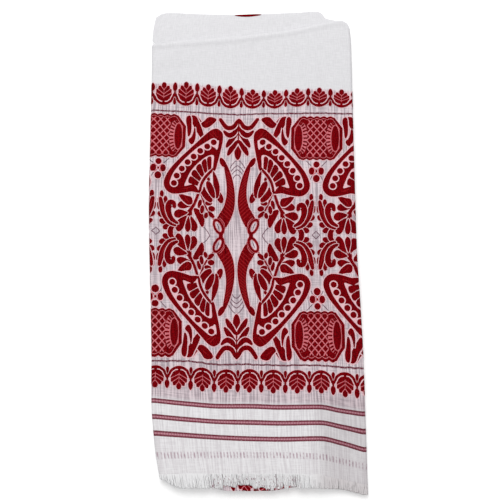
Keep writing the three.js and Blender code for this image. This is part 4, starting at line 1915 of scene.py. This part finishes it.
@dataclass
class Fringe:
    """The loose warp ends past one end of the cloth, open on one stretch and closed beside it."""

    bench: Bench
    name: str
    past_far_end: bool
    thinned: float = 1.0
    layers: tuple[StrandLayer, ...] = (
        StrandLayer(0.95, 1.2, 0.05, 0.28, 0.96, 0.12),
        StrandLayer(0.62, 0.55, 0.14, 0.34, 1.0, 0.08),
    )
    reach: SmoothTable = SmoothTable(
        (
            # across, length of the strands
            (-20, 3), (0, 5.4), (6, 10), (12, 13.2), (20, 14.8), (32, 15), (46, 15.4), (50, 13.8),
            (54, 16), (64, 16.4), (67, 13.2), (77, 13.4), (79, 15.4), (81.5, 11.8), (98, 11.8),
            (101, 16), (105, 16), (107.5, 14.2), (113, 14.2), (116, 17.4), (122, 17.4), (125, 14.6),
            (128, 17), (131, 14.4), (135, 14.4), (138, 17), (141, 13.4), (149, 13.4), (152, 15.8),
            (168, 14.4), (188, 13.2), (206, 12.2), (228, 12.8), (240, 12.4), (420, 11), (440, 5),
            (463.8, 1),
        )
    )
    gap: tuple[float, float] = (0.6, 1.4)
    wide_gap: tuple[float, float] = (2.4, 3.6)
    lean: float = 0.7
    sway: float = 0.35
    uneven: tuple[float, float] = (0.94, 1.04)
    droop: float = 0.24
    least_droop: float = 0.2
    open_droop: float = 1.6
    open_from: float = 48.0
    open_to: float = 166.0
    closed_width: float = 1.7
    selvedge_gap: float = 1.0
    taper: float = 0.3
    curls: float = 2.4
    rooted: float = 6.0
    root_depth: float = 0.45
    rings: tuple[float, ...] = (0.12, 0.22, 0.34, 0.55, 0.78, 0.97)
    sides: int = 4
    seed: int = 7

    def build(self, material: Material) -> Object:
        """Lays a strand at each warp end, leaning into its neighbours."""
        chance = random.Random(self.seed)
        strand = self.strand()
        bm = bmesh.new()
        for layer in self.layers:
            self.lay(bm, strand, layer, chance)
        write_flat_uv(bm, self.bench.fold)
        piece = finish_piece(bm, self.name, material)
        self.bench.set(piece.data)
        return piece

    def lay(self, bm: BMesh, strand: Mesh, layer: StrandLayer, chance: random.Random) -> None:
        """Lays one layer of strands, from one selvedge to the other."""
        fold = self.bench.fold
        across = fold.left_selvedge + self.selvedge_gap
        while across < fold.right_selvedge - self.selvedge_gap:
            loose = self.open_from < across < self.open_to
            lean, sway = chance.gauss(0, self.lean), chance.gauss(0, self.sway)
            reach = float(self.reach(across)) * layer.reach * chance.uniform(*self.uneven)
            droop = self.droop * chance.uniform(self.least_droop, self.open_droop if loose else 1.0)
            phase = chance.uniform(0, math.tau)
            width = 1 if loose else self.closed_width
            before = len(bm.verts)
            bm.from_mesh(strand)
            bm.verts.ensure_lookup_table()
            for vert in bm.verts[before:]:
                beside, t, up = vert.co
                wide = layer.radius * (1 - self.taper * t) * width
                curl = sway * math.sin(self.curls * t * math.pi + phase) * t
                past = -self.rooted + t * (reach + self.rooted)
                along = fold.length + past if self.past_far_end else -past
                sunk = self.root_depth * max(0.0, -past / self.rooted)
                level = layer.level + up * layer.radius * layer.flatness - droop * t * t - sunk
                vert.co = (across + lean * t + curl + beside * wide, along, level)
            missing = loose and chance.random() < layer.gaps
            gap = chance.uniform(*(self.wide_gap if missing else self.gap))
            across += layer.pitch * gap * self.thinned

    def strand(self) -> Mesh:
        """A plain closed tube along y from 0 to 1, of radius 1."""
        bm = bmesh.new()
        bmesh.ops.create_cone(bm, cap_ends=True, segments=self.sides, radius1=1, radius2=1, depth=1)
        upright = Matrix.Rotation(math.radians(-90), 3, "X")
        bmesh.ops.rotate(bm, verts=bm.verts, cent=(0, 0, 0), matrix=upright)
        bmesh.ops.translate(bm, verts=bm.verts, vec=(0, 0.5, 0))
        cut_along(bm, 1, self.rings)
        return keep_mesh(bm, "strand")


# ---------------------------------------------------------------- the studio


@dataclass(frozen=True)
class Studio:
    """Floor, light and camera round the cloth."""

    bench: Bench
    distance: float = 1.0
    tilt_deg: float = 9.8
    lens_mm: float = 62.496
    sensor_mm: float = 36.0
    floor_size: float = 6.0
    floor_tone: Colour = (0.86, 0.86, 0.86, 1)
    floor_glow: float = 0.32
    sky: float = 0.6
    sky_seen: float = 0.4
    lamp_power: float = 50.0
    lamp_size: float = 2.0
    lamp_place: tuple[float, float, float] = (-0.35, 1.4, 2.4)

    def build(self) -> None:
        """Sets up the whole studio."""
        self.camera()
        self.floor()
        self.world()
        self.lamp()
        bpy.context.scene.view_settings.view_transform = "Standard"

    def camera(self) -> None:
        """Looks down on the cloth, a little from its fringed end."""
        data = bpy.data.cameras.new("camera")
        data.sensor_width = self.sensor_mm
        data.lens = self.lens_mm
        camera = bpy.data.objects.new("camera", data)
        tilt = math.radians(self.tilt_deg)
        target = self.bench.origin + Vector((0, 0, self.bench.fold.height * MM))
        camera.location = target + self.distance * Vector((0, -math.sin(tilt), math.cos(tilt)))
        camera.rotation_euler = (tilt, 0, 0)
        bpy.context.scene.collection.objects.link(camera)
        bpy.context.scene.camera = camera

    def floor(self) -> None:
        """A wide white sheet that shows white to the camera and keeps the cloth's shadow."""
        bm = bmesh.new()
        bmesh.ops.create_grid(bm, x_segments=1, y_segments=1, size=self.floor_size / 2)
        material, nodes, shader = shader_of("floor", 0.9, 0.0)
        shader.inputs["Base Color"].default_value = self.floor_tone
        shader.inputs["Emission Color"].default_value = (1, 1, 1, 1)
        nodes.feed(shader.inputs["Emission Strength"], nodes.times(nodes.seen(), self.floor_glow))
        floor = finish_piece(bm, "floor", material)

    def world(self) -> None:
        """An even pale world, brighter where it is seen."""
        world = bpy.data.worlds.new("world")
        bpy.context.scene.world = world
        world.use_nodes = True
        nodes = Nodes(world.node_tree)
        sky = nodes.new("ShaderNodeBackground")
        nodes.feed(sky.inputs["Strength"], nodes.plus(nodes.times(nodes.seen(), self.sky_seen), self.sky))
        nodes.feed(nodes.new("ShaderNodeOutputWorld").inputs["Surface"], sky.outputs[0])

    def lamp(self) -> None:
        """A broad soft lamp, high beyond the cloth's top fold and a little to the left."""
        lamp = bpy.data.lights.new("key", "AREA")
        lamp.energy = self.lamp_power
        lamp.shape = "DISK"
        lamp.size = self.lamp_size
        key = bpy.data.objects.new("key", lamp)
        key.location = self.lamp_place
        key.rotation_euler = (-Vector(self.lamp_place)).to_track_quat("-Z", "Y").to_euler()
        bpy.context.scene.collection.objects.link(key)


def add_piece(piece: Object, slot: str, *nodes: str) -> Object:
    """Rides a piece on the body, hides the CAD nodes that it stands for and logs its triangles."""
    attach(piece, BODY)
    if nodes:
        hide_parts(*nodes)
    piece.data.calc_loop_triangles()
    log.info("%s: %d triangles", piece.name, len(piece.data.loop_triangles))
    return piece


INLAY_FINISHES = {
    Ink.RED: InlayFinish("red_inlay", 0.8),
    Ink.BRIGHT: InlayFinish(
        "bright_inlay", 0.8, deep=(0.19, 0.006, 0.009, 1), bright=(0.38, 0.015, 0.019, 1)
    ),
    Ink.ROSE: InlayFinish("rose_edges", 0.85, deep=(0.54, 0.125, 0.15, 1), bright=(0.76, 0.22, 0.25, 1)),
    Ink.PALE: InlayFinish("pale_edges", 0.9, deep=(0.73, 0.43, 0.47, 1), bright=(0.91, 0.61, 0.65, 1)),
    Ink.MAUVE: InlayFinish("mauve_inlay", 0.85, deep=(0.12, 0.045, 0.07, 1), bright=(0.24, 0.12, 0.16, 1)),
}


def main() -> None:
    """Builds the studio, then the cloth and what is woven into it."""
    logging.basicConfig(level=logging.INFO, format="%(name)s: %(message)s")
    fold = Fold()
    bench = Bench.over(fold, "cloth")
    Studio(bench).build()
    inks = {ink: finish.material(fold) for ink, finish in INLAY_FINISHES.items()}
    ground = GroundFinish("white_cotton", 0.9).material(fold)
    strands = StrandFinish("warp_ends", 0.92).material(fold)
    cloth = add_piece(GroundCloth(bench).build(ground), "cloth", "cloth")
    inlay = Inlay(bench)
    shown = {Part.FIELD: tuple(inks), Part.BORDER: (Ink.RED, Ink.ROSE, Ink.PALE)}
    pieces = [
        add_piece(inlay.build(part, ink, inks[ink]), "cloth")
        for part, part_inks in shown.items()
        for ink in part_inks
    ]
    fringes = (
        (Fringe(bench, "near_fringe", False, seed=7), "fringe_near_end"),
        (Fringe(bench, "far_fringe", True, thinned=2.0, seed=8), "fringe_far_end"),
    )
    pieces += [add_piece(fringe.build(strands), "fringe", node) for fringe, node in fringes]


if __name__ == "__main__":
    main()
